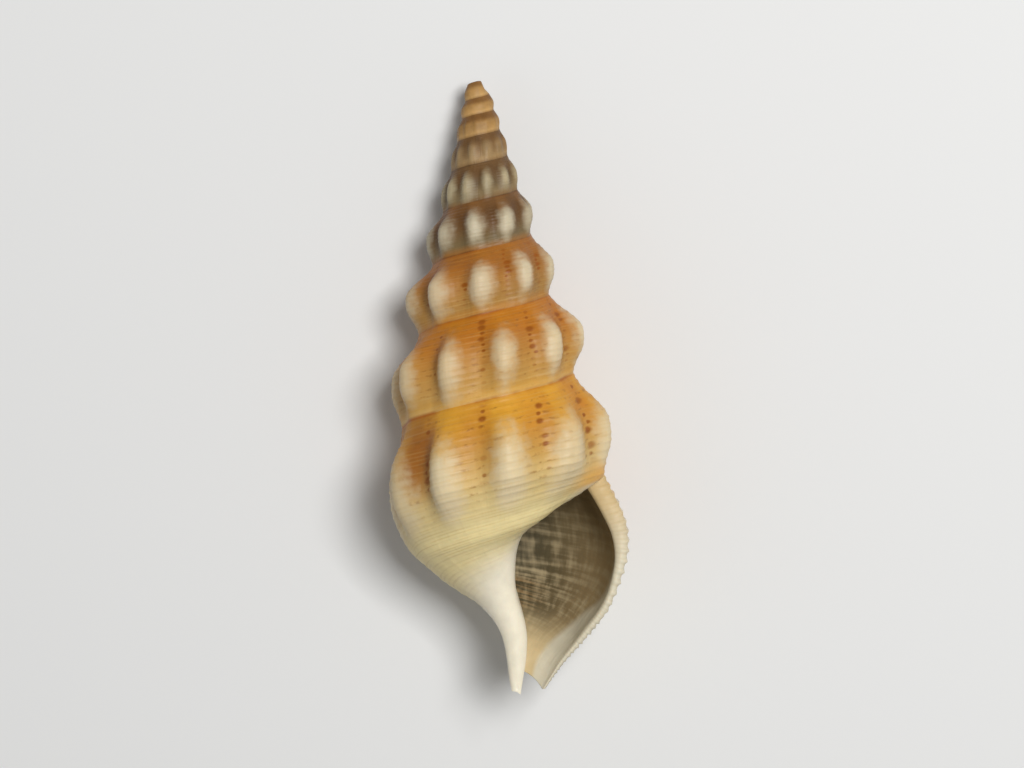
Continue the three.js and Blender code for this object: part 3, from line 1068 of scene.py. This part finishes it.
class Surface:
    """What the layers of the finish read at a point of the shell, and how they mix.

    Stages are in turns from the apex, places run from 0 at a whorl's upper suture over 1 at its lower
    one to 2 at the canal's end, and ribs and threads are counts that are whole on a crest.
    """

    cloud_scale: float = 320.0
    grain_scale: float = 1500.0
    fibres: Streaks = (0.9, 1.6, 4.0)
    drift_across: float = 0.14
    drift_along: float = 0.12
    rib_seed: float = 3.0

    def __init__(self, nodes: bpy.types.NodeTree) -> None:
        """Adds the nodes of the readings that several layers share.

        Args:
            nodes: The material's tree.
        """
        tree = Tree(nodes)
        self.tree = tree
        names = ("stage", "place", "ribs", "threads", "zone")
        self.stage, self.place, self.ribs, self.threads, self.zone = map(self.attribute, names)
        self.coords = tree.add("ShaderNodeTexCoord").outputs["Object"]
        self.cloud = self.noise(self.coords, self.cloud_scale)
        self.grain = self.noise(self.coords, self.grain_scale, 4.0)
        self.fibre = self.streak(*self.fibres)
        self.drift = tree.centred(self.cloud)
        self.across = tree.math("MULTIPLY_ADD", self.drift, self.drift_across, self.place)
        wandering = tree.math("MULTIPLY_ADD", self.drift, self.drift_along, self.ribs)
        self.past = tree.math("FRACT", wandering)
        self.beside = tree.centred(tree.math("FRACT", tree.math("ADD", wandering, 0.5)))
        self.luck = self.draw(tree.math("ROUND", self.ribs), self.rib_seed, 0.0)
        self.wave = tree.math("COSINE", tree.times(self.threads, 2.0 * TURN))

    def attribute(self, name: str) -> Socket:
        """Reads one of the shell's own attributes."""
        return self.tree.add("ShaderNodeAttribute", attribute_name=name).outputs["Fac"]

    def noise(self, coords: object, scale: float, detail: float = 3.0) -> Socket:
        """Cloudy noise around 0.5 on the given coordinates."""
        inputs = {"Vector": coords, "Scale": scale, "Detail": detail}
        return self.tree.add("ShaderNodeTexNoise", inputs).outputs[0]

    def streak(self, by_rib: float, by_thread: float, seed: float) -> Socket:
        """Noise around 0.5 that follows the growth.

        Args:
            by_rib: How often it changes from one rib to the next.
            by_thread: How often it changes from one thread to the next.
            seed: Number that draws it.

        Returns:
            The noise.
        """
        tree = self.tree
        parts = {0: tree.times(self.ribs, by_rib), 1: tree.times(self.threads, by_thread), 2: seed}
        return self.noise(tree.add("ShaderNodeCombineXYZ", parts).outputs[0], 1.0, 2.5)

    def draw(self, *numbers: object) -> bpy.types.NodeOutputs:
        """Draws three values from 0 to 1 that stay the same for the same numbers.

        Args:
            *numbers: Sockets or plain values.

        Returns:
            The three values.
        """
        cell = self.tree.add("ShaderNodeCombineXYZ", dict(enumerate(numbers))).outputs[0]
        drawn = self.tree.add("ShaderNodeTexWhiteNoise", {"Vector": cell}, noise_dimensions="3D")
        return self.tree.add("ShaderNodeSeparateColor", {0: drawn.outputs["Color"]}).outputs

    def ramp(self, stops: Stops, ahead: float = 0.0) -> Socket:
        """Colour that changes with the growth stage.

        Args:
            stops: Pairs of a stage and its colour.
            ahead: Turns by which it is read ahead.

        Returns:
            The colour.
        """
        stage = self.tree.math("ADD", self.stage, ahead) if ahead else self.stage
        node = self.tree.add("ShaderNodeValToRGB", {0: self.tree.math("DIVIDE", stage, Growth.whorls)})
        elements = node.color_ramp.elements
        for index, (turn, colour) in enumerate(stops):
            if index == len(elements):
                elements.new(turn / Growth.whorls)
            elements[index].position = turn / Growth.whorls
            elements[index].color = linear(*colour)
        return node.outputs[0]

    def blend(self, share: object, below: object, over: object) -> Socket:
        """Mixes one colour over another by a share.

        Args:
            share: Share of the upper colour.
            below: The lower colour.
            over: The upper colour.

        Returns:
            The mixed colour.
        """
        node = self.tree.add("ShaderNodeMix", data_type="RGBA", clamp_factor=True)
        for socket, value in zip((node.inputs[0], node.inputs[6], node.inputs[7]), (share, below, over)):
            self.tree.feed(socket, linear(*value) if isinstance(value, tuple) else value)
        return node.outputs[2]


@dataclass(frozen=True)
class Bands:
    """Orange shoulder and the tan and cream lower parts, which change as the shell grows."""

    shoulder: Stops = (
        (0.0, (138, 98, 50)), (2.2, (120, 82, 38)), (3.4, (104, 74, 40)), (4.6, (108, 78, 42)),
        (5.3, (122, 82, 40)), (6.1, (156, 98, 32)), (6.9, (176, 106, 16)), (7.5, (188, 120, 26)),
        (8.2, (208, 150, 44)), (8.9, (206, 148, 50)),
    )
    between: Stops = (
        (0.0, (172, 132, 76)), (2.2, (158, 120, 68)), (3.4, (118, 90, 56)), (4.4, (98, 80, 54)),
        (5.25, (104, 72, 38)), (5.7, (124, 100, 64)), (6.2, (168, 118, 56)), (7.25, (180, 128, 58)),
        (8.2, (196, 152, 76)), (8.9, (210, 178, 116)),
    )
    low: Stops = (
        (0.0, (192, 152, 94)), (2.2, (184, 144, 88)), (3.4, (152, 124, 84)), (4.4, (124, 106, 74)),
        (5.3, (112, 96, 64)), (6.2, (162, 122, 62)), (7.25, (190, 146, 74)), (7.7, (188, 152, 94)),
        (8.2, (212, 188, 130)), (8.9, (218, 196, 142)),
    )
    between_edge: Span = (0.2, 0.5)
    low_edge: Span = (0.5, 0.95)
    bottom_edge: Span = (0.84, 1.0)
    bottom_share: float = 0.6
    last_turn: Span = (8.0, 7.9)

    def lay(self, at: Surface) -> Socket:
        """Colours the whorls, the bottom of each towards the shoulder below it.

        Args:
            at: Readings of the surface.

        Returns:
            The colour.
        """
        step = at.tree.step
        skin = at.blend(step(at.across, self.between_edge), at.ramp(self.shoulder), at.ramp(self.between))
        skin = at.blend(step(at.across, self.low_edge), skin, at.ramp(self.low))
        bottom = at.tree.times(
            step(at.across, self.bottom_edge), step(at.stage, self.last_turn), self.bottom_share
        )
        return at.blend(bottom, skin, at.ramp(self.shoulder, 1.0))


@dataclass(frozen=True)
class Gaps:
    """Darker stain in the gaps between ribs, deepest in one gap, and in clouds on the shoulder."""

    colours: Stops = (
        (0.0, (130, 96, 56)), (3.6, (104, 74, 42)), (5.3, (88, 58, 26)), (6.1, (146, 88, 28)),
        (7.2, (168, 98, 22)), (8.2, (184, 112, 24)), (8.3, (176, 108, 28)), (8.42, (146, 88, 30)),
        (8.6, (180, 110, 26)),
    )
    after_crest: Span = (0.12, 0.26)
    before_crest: Span = (0.96, 0.5)
    downwards: Span = (0.7, 0.3)
    upwards: Span = (0.05, 0.3)
    upper_strength: float = 0.5
    first_turns: Span = (3.4, 4.6)
    spire_turns: Span = (5.6, 6.6)
    spire_strength: Span = (0.85, 0.5)
    deep_from: Span = (8.28, 8.4)
    deep_strength: float = 1.9
    wide_from: Span = (8.3, 8.42)
    wider: float = 0.12
    long_from: Span = (8.28, 8.42)
    longer: float = 0.2
    stain_clouds: Span = (0.48, 0.66)
    stain_downwards: Span = (0.6, 0.3)
    stain_turns: Span = (4.5, 5.5)
    stain_strength: float = 0.4

    def lay(self, at: Surface, skin: Socket) -> Socket:
        """Stains the gaps.

        Args:
            at: Readings of the surface.
            skin: The colour below.

        Returns:
            The colour with its stain.
        """
        step = at.tree.step
        colour = at.ramp(self.colours)
        past = at.tree.math("SUBTRACT", at.past, step(at.stage, self.wide_from, (0.0, self.wider)))
        down = at.tree.math("SUBTRACT", at.across, step(at.stage, self.long_from, (0.0, self.longer)))
        stain = at.tree.times(
            step(at.past, self.after_crest),
            step(past, self.before_crest),
            step(down, self.downwards),
            step(at.across, self.upwards, (self.upper_strength, 1.0)),
            step(at.stage, self.first_turns),
            step(at.stage, self.spire_turns, self.spire_strength),
            step(at.stage, self.deep_from, (1.0, self.deep_strength)),
        )
        clouds = at.tree.times(
            step(at.cloud, self.stain_clouds),
            step(at.across, self.stain_downwards),
            step(at.stage, self.stain_turns),
            self.stain_strength,
        )
        return at.blend(clouds, at.blend(stain, skin, colour), colour)


@dataclass(frozen=True)
class Crests:
    """White ovals on the ribs, each a little different and steeper on its side towards the lip."""

    colours: Stops = (
        (0.0, (190, 152, 96)), (2.2, (182, 146, 92)), (3.4, (164, 142, 104)), (4.4, (172, 158, 126)),
        (5.25, (196, 184, 156)), (5.6, (186, 178, 154)), (6.2, (208, 191, 158)), (7.25, (212, 192, 154)),
        (8.2, (218, 199, 160)), (8.9, (220, 202, 163)),
    )
    growing: Span = (7.6, 8.2)
    middle: Span = (0.58, 0.79)
    half_height: Span = (0.4, 0.54)
    steepness: Span = (2.7, 3.9)
    luck_steepness: Span = (0.9, 1.2)
    last_turns: Span = (7.7, 8.1)
    last_steepness: float = 0.86
    spire_turns: Span = (5.8, 6.3)
    spire_steepness: float = 0.8
    fibre: float = 0.25
    drift: float = 0.9
    grain: float = 0.8
    edge: Span = (1.2, 0.25)
    first_turns: Span = (2.6, 4.0)
    luck_strength: Span = (0.82, 1.0)

    def share(self, at: Surface) -> Socket:
        """Share of white over the whorls.

        Args:
            at: Readings of the surface.

        Returns:
            The share, 1 on the middle of a rib.
        """
        tree, step = at.tree, at.tree.step
        down = tree.math("SUBTRACT", at.across, step(at.stage, self.growing, self.middle))
        down = tree.math("DIVIDE", down, step(at.stage, self.growing, self.half_height))
        before, after = self.steepness
        aside = tree.times(
            tree.math("MAXIMUM", tree.times(at.beside, after), tree.times(at.beside, -before)),
            step(at.luck[0], WHOLE, self.luck_steepness),
            step(at.stage, self.last_turns, (1.0, self.last_steepness)),
            step(at.stage, self.spire_turns, (self.spire_steepness, 1.0)),
        )
        far = tree.length(down, aside)
        far = tree.math("MULTIPLY_ADD", tree.centred(at.fibre), self.fibre, far)
        far = tree.math("MULTIPLY_ADD", at.drift, self.drift, far)
        far = tree.math("MULTIPLY_ADD", tree.centred(at.grain), self.grain, far)
        strength = step(at.luck[1], WHOLE, self.luck_strength)
        return tree.times(step(far, self.edge), step(at.stage, self.first_turns), strength)


@dataclass(frozen=True)
class Base:
    """Cream base of the last whorl, with fine lines between the threads."""

    colour: Colour = (234, 215, 158)
    line: Colour = (198, 168, 104)
    turns: Span = (5.5, 8.0)
    below_suture: Span = (1.02, 1.1)
    edge: Span = (0.9, 1.16)
    line_wave: Span = (0.3, -0.8)
    line_fibre: Span = (0.38, 0.66)
    line_places: Span = (0.6, 1.1)
    line_strength: Span = (0.15, 0.38)
    line_turns: Span = (5.0, 7.0)

    def lay(self, at: Surface, skin: Socket) -> Socket:
        """Colours the base and draws the lines.

        Args:
            at: Readings of the surface.
            skin: The colour below.

        Returns:
            The colour with the base and its lines.
        """
        step = at.tree.step
        on_base = at.tree.math("MAXIMUM", step(at.stage, self.turns), step(at.place, self.below_suture))
        skin = at.blend(at.tree.times(step(at.across, self.edge), on_base), skin, self.colour)
        lined = at.tree.times(
            step(at.wave, self.line_wave),
            step(at.fibre, self.line_fibre),
            step(at.place, self.line_places, self.line_strength),
            step(at.stage, self.line_turns),
        )
        return at.blend(lined, skin, self.line)


@dataclass(frozen=True)
class Spots:
    """Rust dots in one row for each gap between ribs, and olive dashes on the threads."""

    rust: Colour = (140, 74, 0)
    olive: Colour = (140, 92, 36)
    below_suture: Span = (0.02, 0.1)
    first_turns: Span = (5.2, 6.2)
    last_turns: Span = (8.86, 8.8)
    dash_noise: Span = (0.5, 0.7)
    on_thread: Span = (-0.3, 1.0)
    dashes: Streaks = (8.0, 1.4, 21.0)
    before_crest: Span = (0.95, 0.55)
    crest_strength: float = 0.25
    dash_places: Span = (1.05, 0.75)
    dash_strength: float = 0.6
    dot_places: Span = (0.98, 0.5)
    dot_strength: float = 0.92
    row_past_crest: float = 0.36
    wander: float = 0.08
    drawn: Span = (0.9, 0.35)
    least_size: float = 0.048
    more_size: float = 0.075
    thread_gap: float = 0.17
    edge: Span = (1.1, 0.35)
    seed: float = 5.0

    def dots(self, at: Surface) -> Socket:
        """Round dots, at most one for each thread and gap.

        Args:
            at: Readings of the surface.

        Returns:
            The dots' strength.
        """
        tree = at.tree
        thread = tree.math("FLOOR", tree.math("ADD", at.threads, 0.5))
        shifted = tree.math("SUBTRACT", at.ribs, self.row_past_crest - 0.5)
        drawn = at.draw(thread, tree.math("FLOOR", shifted), self.seed)
        aside = tree.centred(tree.math("FRACT", shifted))
        aside = tree.math("MULTIPLY_ADD", tree.centred(drawn[1]), self.wander, aside)
        down = tree.times(tree.math("SUBTRACT", at.threads, thread), self.thread_gap)
        size = tree.math("MULTIPLY_ADD", tree.times(drawn[2], drawn[2]), self.more_size, self.least_size)
        spot = tree.step(tree.math("DIVIDE", tree.length(aside, down), size), self.edge)
        return tree.times(spot, tree.step(drawn[0], self.drawn))

    def lay(self, at: Surface, skin: Socket, on_rib: Socket) -> Socket:
        """Draws the dashes and the dots.

        Args:
            at: Readings of the surface.
            skin: The colour below.
            on_rib: Share of white, which hides the dashes.

        Returns:
            The colour with its spots.
        """
        tree, step = at.tree, at.tree.step
        shown = tree.times(step(at.stage, self.first_turns), step(at.stage, self.last_turns))
        shown = tree.times(step(at.place, self.below_suture), shown)
        dashes = tree.times(
            step(at.streak(*self.dashes), self.dash_noise),
            step(tree.math("COSINE", tree.times(at.threads, TURN)), self.on_thread),
            step(at.past, self.before_crest, (self.crest_strength, 1.0)),
            step(at.place, self.dash_places),
            tree.math("SUBTRACT", 1.0, on_rib),
            shown,
            self.dash_strength,
        )
        dots = tree.times(self.dots(at), shown, step(at.place, self.dot_places, (0.0, self.dot_strength)))
        return at.blend(dots, at.blend(dashes, skin, self.olive), self.rust)


@dataclass(frozen=True)
class Sutures:
    """Dark lines between the whorls, and gold where the lip leaves the last whorl."""

    colours: Stops = ((0.0, (112, 76, 36)), (4.5, (70, 48, 26)), (6.0, (132, 74, 18)), (7.5, (164, 90, 14)))
    gold: Colour = (212, 154, 58)
    last_turn: Span = (7.9, 8.0)
    line: Span = (0.035, 0.0)
    line_clouds: Span = (0.38, 0.6)
    line_strength: Span = (0.1, 0.85)
    lip_turns: Span = (8.78, 8.92)
    lip_places: Span = (0.3, 0.05)
    lip_strength: float = 0.7
    corner_start: Span = (7.8, 7.9)
    corner_end: Span = (8.13, 8.05)
    corner_top: Span = (0.8, 0.95)
    corner_bottom: Span = (1.12, 1.02)
    corner_strength: float = 0.8

    def lines(self, at: Surface, skin: Socket) -> Socket:
        """Draws the lines.

        Args:
            at: Readings of the surface.
            skin: The colour below.

        Returns:
            The colour with its lines.
        """
        tree, step = at.tree, at.tree.step
        above = tree.math("ABSOLUTE", tree.math("SUBTRACT", at.place, 1.0))
        above = tree.math("ADD", above, step(at.stage, self.last_turn))
        line = step(tree.math("MINIMUM", at.place, above), self.line)
        line = tree.times(line, step(at.cloud, self.line_clouds, self.line_strength))
        return at.blend(line, skin, at.ramp(self.colours))

    def patches(self, at: Surface, skin: Socket) -> Socket:
        """Colours the golden patches on both sides of the lip's upper end.

        Args:
            at: Readings of the surface.
            skin: The colour below.

        Returns:
            The colour with its patches.
        """
        tree, step = at.tree, at.tree.step
        by_lip = tree.times(step(at.stage, self.lip_turns), step(at.across, self.lip_places))
        by_lip = tree.times(by_lip, self.lip_strength)
        corner = tree.times(
            step(at.stage, self.corner_end),
            step(at.stage, self.corner_start),
            step(at.across, self.corner_top),
            step(at.place, self.corner_bottom),
            self.corner_strength,
        )
        return at.blend(tree.math("MAXIMUM", by_lip, corner), skin, self.gold)


@dataclass(frozen=True)
class InnerLip:
    """White, glossier callus on the inner lip, the neck and the canal's end."""

    colour: Colour = (236, 227, 204)
    slope: float = 0.54
    edge: Span = (1.16, 1.42)
    start: Span = (7.9, 8.0)
    end: Span = (8.76, 8.6)
    canal_places: Span = (1.8, 1.92)
    ledge_turns: Span = (8.1, 8.03)
    ledge_places: Span = (1.0, 1.08)
    ledge_strength: float = 0.8

    def share(self, at: Surface) -> Socket:
        """Share of white over the base.

        Args:
            at: Readings of the surface.

        Returns:
            The share.
        """
        tree, step = at.tree, at.tree.step
        grown = tree.math("SUBTRACT", at.stage, Growth.whorls - 1)
        edge = step(tree.math("MULTIPLY_ADD", grown, -self.slope, at.across), self.edge)
        started = step(at.stage, self.start)
        glazed = tree.times(edge, started, step(at.stage, self.end))
        glazed = tree.math("MAXIMUM", glazed, step(at.place, self.canal_places))
        ledge = tree.times(step(at.stage, self.ledge_turns), started, step(at.place, self.ledge_places))
        return tree.math("MAXIMUM", glazed, tree.times(ledge, self.ledge_strength))


@dataclass(frozen=True)
class Cavity:
    """Dark cavity with faint marks of the pattern outside, which pales towards lip and canal; painted light
    makes it lighter towards the lip and painted shade makes it darker deep inside.
    """

    # Painted light: the cavity's own tone near the lip, made lighter where the lip wall shades it.
    front_with_painted_light: Colour = (162, 138, 98)
    # Painted shade: darker colour deep inside the cavity.
    deep: Colour = (76, 68, 47)
    mark: Colour = (176, 158, 122)
    warm: Colour = (164, 122, 70)
    canal: Colour = (204, 182, 138)
    lip: Colour = LIP_CREAM
    # Stages over which the painted light near the lip turns into the painted shade deep inside.
    painted_shade_turns: Span = (8.96, 8.78)
    columns: Streaks = (8.5, 0.3, 12.0)
    bands: Streaks = (0.8, 1.5, 17.0)
    blotch_scale: float = 700.0
    blotch: float = 0.5
    mark_noise: Span = (1.05, 1.65)
    mark_places: Span = (0.4, 1.1)
    upper_strength: float = 0.5
    warm_top: Span = (1.0, 1.2)
    warm_bottom: Span = (1.6, 1.35)
    warm_turns: Span = (8.85, 8.7)
    warm_bands: Span = (0.42, 0.6)
    canal_places: Span = (1.3, 1.8)
    slant_places: Span = (0.8, 1.5)
    slant: float = 0.06
    lip_turns: Span = (8.96, 8.99)
    zone_edge: Span = (0.6, 0.4)

    def lay(self, at: Surface, skin: Socket) -> Socket:
        """Colours the cavity, with painted light towards the lip and painted shade deep inside.

        Args:
            at: Readings of the surface.
            skin: The colour outside.

        Returns:
            The colour with the cavity.
        """
        tree, step = at.tree, at.tree.step
        bands = at.streak(*self.bands)
        marks = tree.math("ADD", at.streak(*self.columns), bands)
        marks = tree.math("MULTIPLY_ADD", at.noise(at.coords, self.blotch_scale, 2.0), self.blotch, marks)
        marks = tree.times(
            step(marks, self.mark_noise), step(at.across, self.mark_places, (self.upper_strength, 1.0))
        )
        warm = tree.times(
            step(at.across, self.warm_top),
            step(at.across, self.warm_bottom),
            step(at.stage, self.warm_turns),
            step(bands, self.warm_bands),
        )
        slanted = tree.math("ADD", at.stage, step(at.across, self.slant_places, (0.0, self.slant)))
        # Painted light near the lip, painted shade deep inside the cavity.
        inside = at.blend(step(at.stage, self.painted_shade_turns), self.front_with_painted_light, self.deep)
        for share, colour in (
            (marks, self.mark),
            (warm, self.warm),
            (step(at.across, self.canal_places), self.canal),
            (step(slanted, self.lip_turns), self.lip),
        ):
            inside = at.blend(share, inside, colour)
        beside_zone = tree.math("ABSOLUTE", tree.math("SUBTRACT", at.zone, float(Zone.CAVITY.value)))
        return at.blend(step(beside_zone, self.zone_edge), skin, inside)


@dataclass(frozen=True)
class OuterLip:
    """Cream edge of the outer lip, lined by the threads and tan at its upper end."""

    colour: Colour = LIP_CREAM
    line: Colour = (184, 166, 128)
    top: Colour = (196, 164, 104)
    turns: Span = (8.93, 8.99)
    strength: float = 0.9
    line_wave: Span = (0.0, -0.9)
    line_strength: float = 0.35
    top_places: Span = (0.75, 0.1)
    top_strength: float = 0.75
    zone_edge: Span = (1.4, 1.6)

    def border(self, at: Surface, skin: Socket) -> Socket:
        """Pales the outside close to the lip."""
        share = at.tree.times(at.tree.step(at.stage, self.turns), self.strength)
        return at.blend(share, skin, self.colour)

    def lay(self, at: Surface, skin: Socket) -> Socket:
        """Colours the lip's edge.

        Args:
            at: Readings of the surface.
            skin: The colour beside the edge.

        Returns:
            The colour with the edge.
        """
        step = at.tree.step
        lined = at.tree.times(step(at.wave, self.line_wave), at.fibre, self.line_strength)
        rim = at.blend(lined, self.colour, self.line)
        rim = at.blend(step(at.across, self.top_places, (0.0, self.top_strength)), rim, self.top)
        return at.blend(step(at.zone, self.zone_edge), skin, rim)


@dataclass(frozen=True)
class ShellFinish:
    """Limy shell: its layers of colour, its mottle, its growth lines and its soft gloss."""

    name: str = "ribbed_shell_lime"
    bands: Bands = Bands()
    gaps: Gaps = Gaps()
    crests: Crests = Crests()
    base: Base = Base()
    spots: Spots = Spots()
    sutures: Sutures = Sutures()
    inner_lip: InnerLip = InnerLip()
    cavity: Cavity = Cavity()
    outer_lip: OuterLip = OuterLip()
    mottle_turns: Span = (3.5, 5.5)
    mottle: Span = (0.9, 0.22)
    growth_lines: Streaks = (9.0, 0.12, 8.0)
    growth_relief: float = 1.4
    grain_relief: float = 0.7
    callus_calm: float = 0.8
    relief: float = 0.00005
    relief_strength: float = 0.5
    roughness: float = 0.5
    roughness_range: float = 0.22
    callus_gloss: float = 0.2
    subsurface: float = 0.08
    subsurface_depth: float = 0.0003

    def colour(self, at: Surface, glazed: Socket) -> Socket:
        """Lays every layer of colour over the one before.

        Args:
            at: Readings of the surface.
            glazed: Share of the inner lip's callus.

        Returns:
            The colour, with a fine mottle.
        """
        on_rib = self.crests.share(at)
        skin = self.gaps.lay(at, self.bands.lay(at))
        skin = at.blend(on_rib, skin, at.ramp(self.crests.colours))
        skin = self.base.lay(at, skin)
        skin = self.spots.lay(at, skin, on_rib)
        skin = self.sutures.lines(at, skin)
        skin = self.outer_lip.border(at, skin)
        skin = self.sutures.patches(at, skin)
        skin = at.blend(glazed, skin, self.inner_lip.colour)
        # The cavity's colour carries painted light towards the lip and painted shade deep inside.
        skin = self.cavity.lay(at, skin)
        skin = self.outer_lip.lay(at, skin)
        strength = at.tree.step(at.stage, self.mottle_turns, self.mottle)
        value = at.tree.math("MULTIPLY_ADD", at.tree.centred(at.grain), strength, 1.0)
        return at.tree.add("ShaderNodeHueSaturation", {"Value": value, "Color": skin}).outputs[0]

    def bump(self, at: Surface, glazed: Socket) -> Socket:
        """Growth lines and grain, calmer on the callus.

        Args:
            at: Readings of the surface.
            glazed: Share of the inner lip's callus.

        Returns:
            The bumped normal.
        """
        tree = at.tree
        lines = tree.times(at.streak(*self.growth_lines), self.growth_relief)
        height = tree.math("ADD", lines, tree.times(at.grain, self.grain_relief))
        height = tree.times(height, tree.math("SUBTRACT", 1.0, tree.times(glazed, self.callus_calm)))
        inputs = {"Height": height, "Strength": self.relief_strength, "Distance": self.relief}
        return tree.add("ShaderNodeBump", inputs).outputs[0]

    def make(self) -> bpy.types.Material:
        """Builds the material.

        Returns:
            The finished material.
        """
        material = bpy.data.materials.new(self.name)
        material.use_nodes = True
        material.node_tree.nodes.clear()
        at = Surface(material.node_tree)
        tree = at.tree
        glazed = self.inner_lip.share(at)
        matt = self.roughness - self.roughness_range / 2
        matt = tree.math("MULTIPLY_ADD", at.cloud, self.roughness_range, matt)
        shader = tree.add(
            "ShaderNodeBsdfPrincipled",
            {
                "Base Color": self.colour(at, glazed),
                "Roughness": tree.math("SUBTRACT", matt, tree.times(glazed, self.callus_gloss)),
                "Normal": self.bump(at, glazed),
                "Subsurface Weight": self.subsurface,
                "Subsurface Radius": (1.0, 0.6, 0.35),
                "Subsurface Scale": self.subsurface_depth,
                "Specular IOR Level": 0.35,
                "Coat Weight": 0.03,
                "Coat Roughness": 0.3,
                "IOR": 1.4,
            },
        ).outputs[0]
        tree.add("ShaderNodeOutputMaterial", {"Surface": shader})
        return material


@dataclass
class Shell:
    """The whole shell."""

    node: str = "shell"
    form: ShellForm = field(default_factory=ShellForm)
    threads: Threads = field(default_factory=Threads)
    rest: Rest = field(default_factory=Rest)
    tree: CoilingTree = field(default_factory=CoilingTree)
    finish: ShellFinish = field(default_factory=ShellFinish)
    offset: Vector = field(default_factory=Vector)

    def build(self) -> bpy.types.Object:
        """Builds the shell, dresses it and puts it in the place of its solid.

        Returns:
            The finished shell.
        """
        net = ShellNet(self.form, self.threads)
        piece = bpy.data.objects.new("shell_net", net.mesh("shell_net"))
        bpy.context.scene.collection.objects.link(piece)
        self.offset = self.lay_offset(net)
        turn = tuple(self.rest.turned.to_euler())
        values = self.tree.inputs(self.form.ribs, turn, tuple(self.offset), self.finish.make())
        modifier = piece.modifiers.new("Coil", "NODES")
        modifier.node_group = self.tree.build(self.form.growth, values)
        for item in modifier.node_group.interface.items_tree:
            if item.in_out == "INPUT" and item.name in values:
                modifier[item.identifier] = values[item.name]
        depsgraph = bpy.context.evaluated_depsgraph_get()
        mesh = bpy.data.meshes.new_from_object(
            piece.evaluated_get(depsgraph), preserve_all_data_layers=True, depsgraph=depsgraph
        )
        mesh.name = "ribbed_shell"
        piece.modifiers.clear()
        bpy.data.objects.remove(piece)
        shell = bpy.data.objects.new("ribbed_shell", mesh)
        bpy.context.scene.collection.objects.link(shell)
        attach(shell, "root")
        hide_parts(self.node)
        return shell

    def lay_offset(self, net: ShellNet) -> Vector:
        """Shift that brings the ribbed shell down to the ground, in millimetres.

        Args:
            net: The net of growth stages.

        Returns:
            The shift.
        """
        profile = net.profile()
        crest = self.form.ribs.crest(profile["rib_count"])
        radius = profile["coil_radius"] + crest * profile["rib_own"]
        return self.rest.offset(self.form.growth.coil(profile["coil_turn"], radius, profile["coil_depth"]))


@dataclass
class Studio:
    """Pale floor, soft light and the camera over the shell."""

    photo_scale: float = 0.065466
    photo_width: int = 1024
    axis_lean: float = 2.84
    look_at: Point = (1.301, -19.925, 0.0)
    distance: float = 0.32
    sensor: float = 36.0
    floor_size: float = 3.0
    floor_tone: Colour = (0.78, 0.78, 0.77)
    lit_point: Point = (0, 0, 0.006)
    room_light: float = 0.22

    def floor(self) -> None:
        """Adds the floor."""
        mesh = bpy.data.meshes.new("floor")
        half = self.floor_size / 2
        corners = [(-half, -half, 0), (half, -half, 0), (half, half, 0), (-half, half, 0)]
        mesh.from_pydata(corners, [], [(0, 1, 2, 3)])
        floor = bpy.data.objects.new("floor", mesh)
        bpy.context.scene.collection.objects.link(floor)
        material = bpy.data.materials.new("pale_floor")
        material.use_nodes = True
        shader = material.node_tree.nodes["Principled BSDF"]
        shader.inputs["Base Color"].default_value = (*self.floor_tone, 1)
        shader.inputs["Roughness"].default_value = 0.85
        mesh.materials.append(material)

    def lamp(self, name: str, place: Vector, target: Vector, power: float, size: float) -> None:
        """Adds one soft lamp that faces a point.

        Args:
            name: The lamp's name.
            place: Where it stands.
            target: Point that it faces.
            power: Its power in watts.
            size: Its width in metres.
        """
        light = bpy.data.lights.new(name, "AREA")
        light.energy = power
        light.size = size
        lamp = bpy.data.objects.new(name, light)
        lamp.location = place
        lamp.rotation_euler = (target - place).to_track_quat("-Z", "Y").to_euler()
        bpy.context.scene.collection.objects.link(lamp)

    def light(self) -> None:
        """Adds the lamps and the soft surroundings."""
        middle = Vector(self.lit_point)
        self.lamp("key", Vector((0.16, 0.13, 0.38)), middle, 1.6, 0.12)
        self.lamp("fill", Vector((-0.3, -0.1, 0.3)), middle, 0.08, 0.3)
        world = bpy.data.worlds.new("soft_room")
        world.use_nodes = True
        background = world.node_tree.nodes["Background"]
        background.inputs[0].default_value = (1, 1, 1, 1)
        background.inputs[1].default_value = self.room_light
        bpy.context.scene.world = world
        bpy.context.scene.view_settings.view_transform = "Standard"

    def camera(self, rest: Rest, offset: Vector) -> None:
        """Adds the camera at the photograph's viewing angle.

        Args:
            rest: How the shell lies.
            offset: Shift of the laid shell, in millimetres.
        """
        lean = math.radians(self.axis_lean)
        right = rest.turned @ Vector((math.cos(lean), -math.sin(lean), 0))
        up = rest.turned @ Vector((math.sin(lean), math.cos(lean), 0))
        back = rest.turned @ Vector((0, 0, 1))
        target = (rest.turned @ Vector(self.look_at) + offset) * MM
        data = bpy.data.cameras.new("camera")
        data.sensor_width = self.sensor
        data.lens = self.sensor * self.distance / (self.photo_width * self.photo_scale * MM)
        camera = bpy.data.objects.new("camera", data)
        turn = Matrix((right, up, back)).transposed().to_4x4()
        camera.matrix_world = Matrix.Translation(target + back * self.distance) @ turn
        bpy.context.scene.collection.objects.link(camera)
        bpy.context.scene.camera = camera


def main() -> None:
    """Builds the shell and the studio."""
    logging.basicConfig(level=logging.INFO)
    shell = Shell()
    piece = shell.build()
    LOG.info("%s: %d faces", piece.name, len(piece.data.polygons))
    studio = Studio()
    studio.floor()
    studio.light()
    studio.camera(shell.rest, shell.offset)
    LOG.info("studio: floor, lamps and camera")


if __name__ == "__main__":
    main()
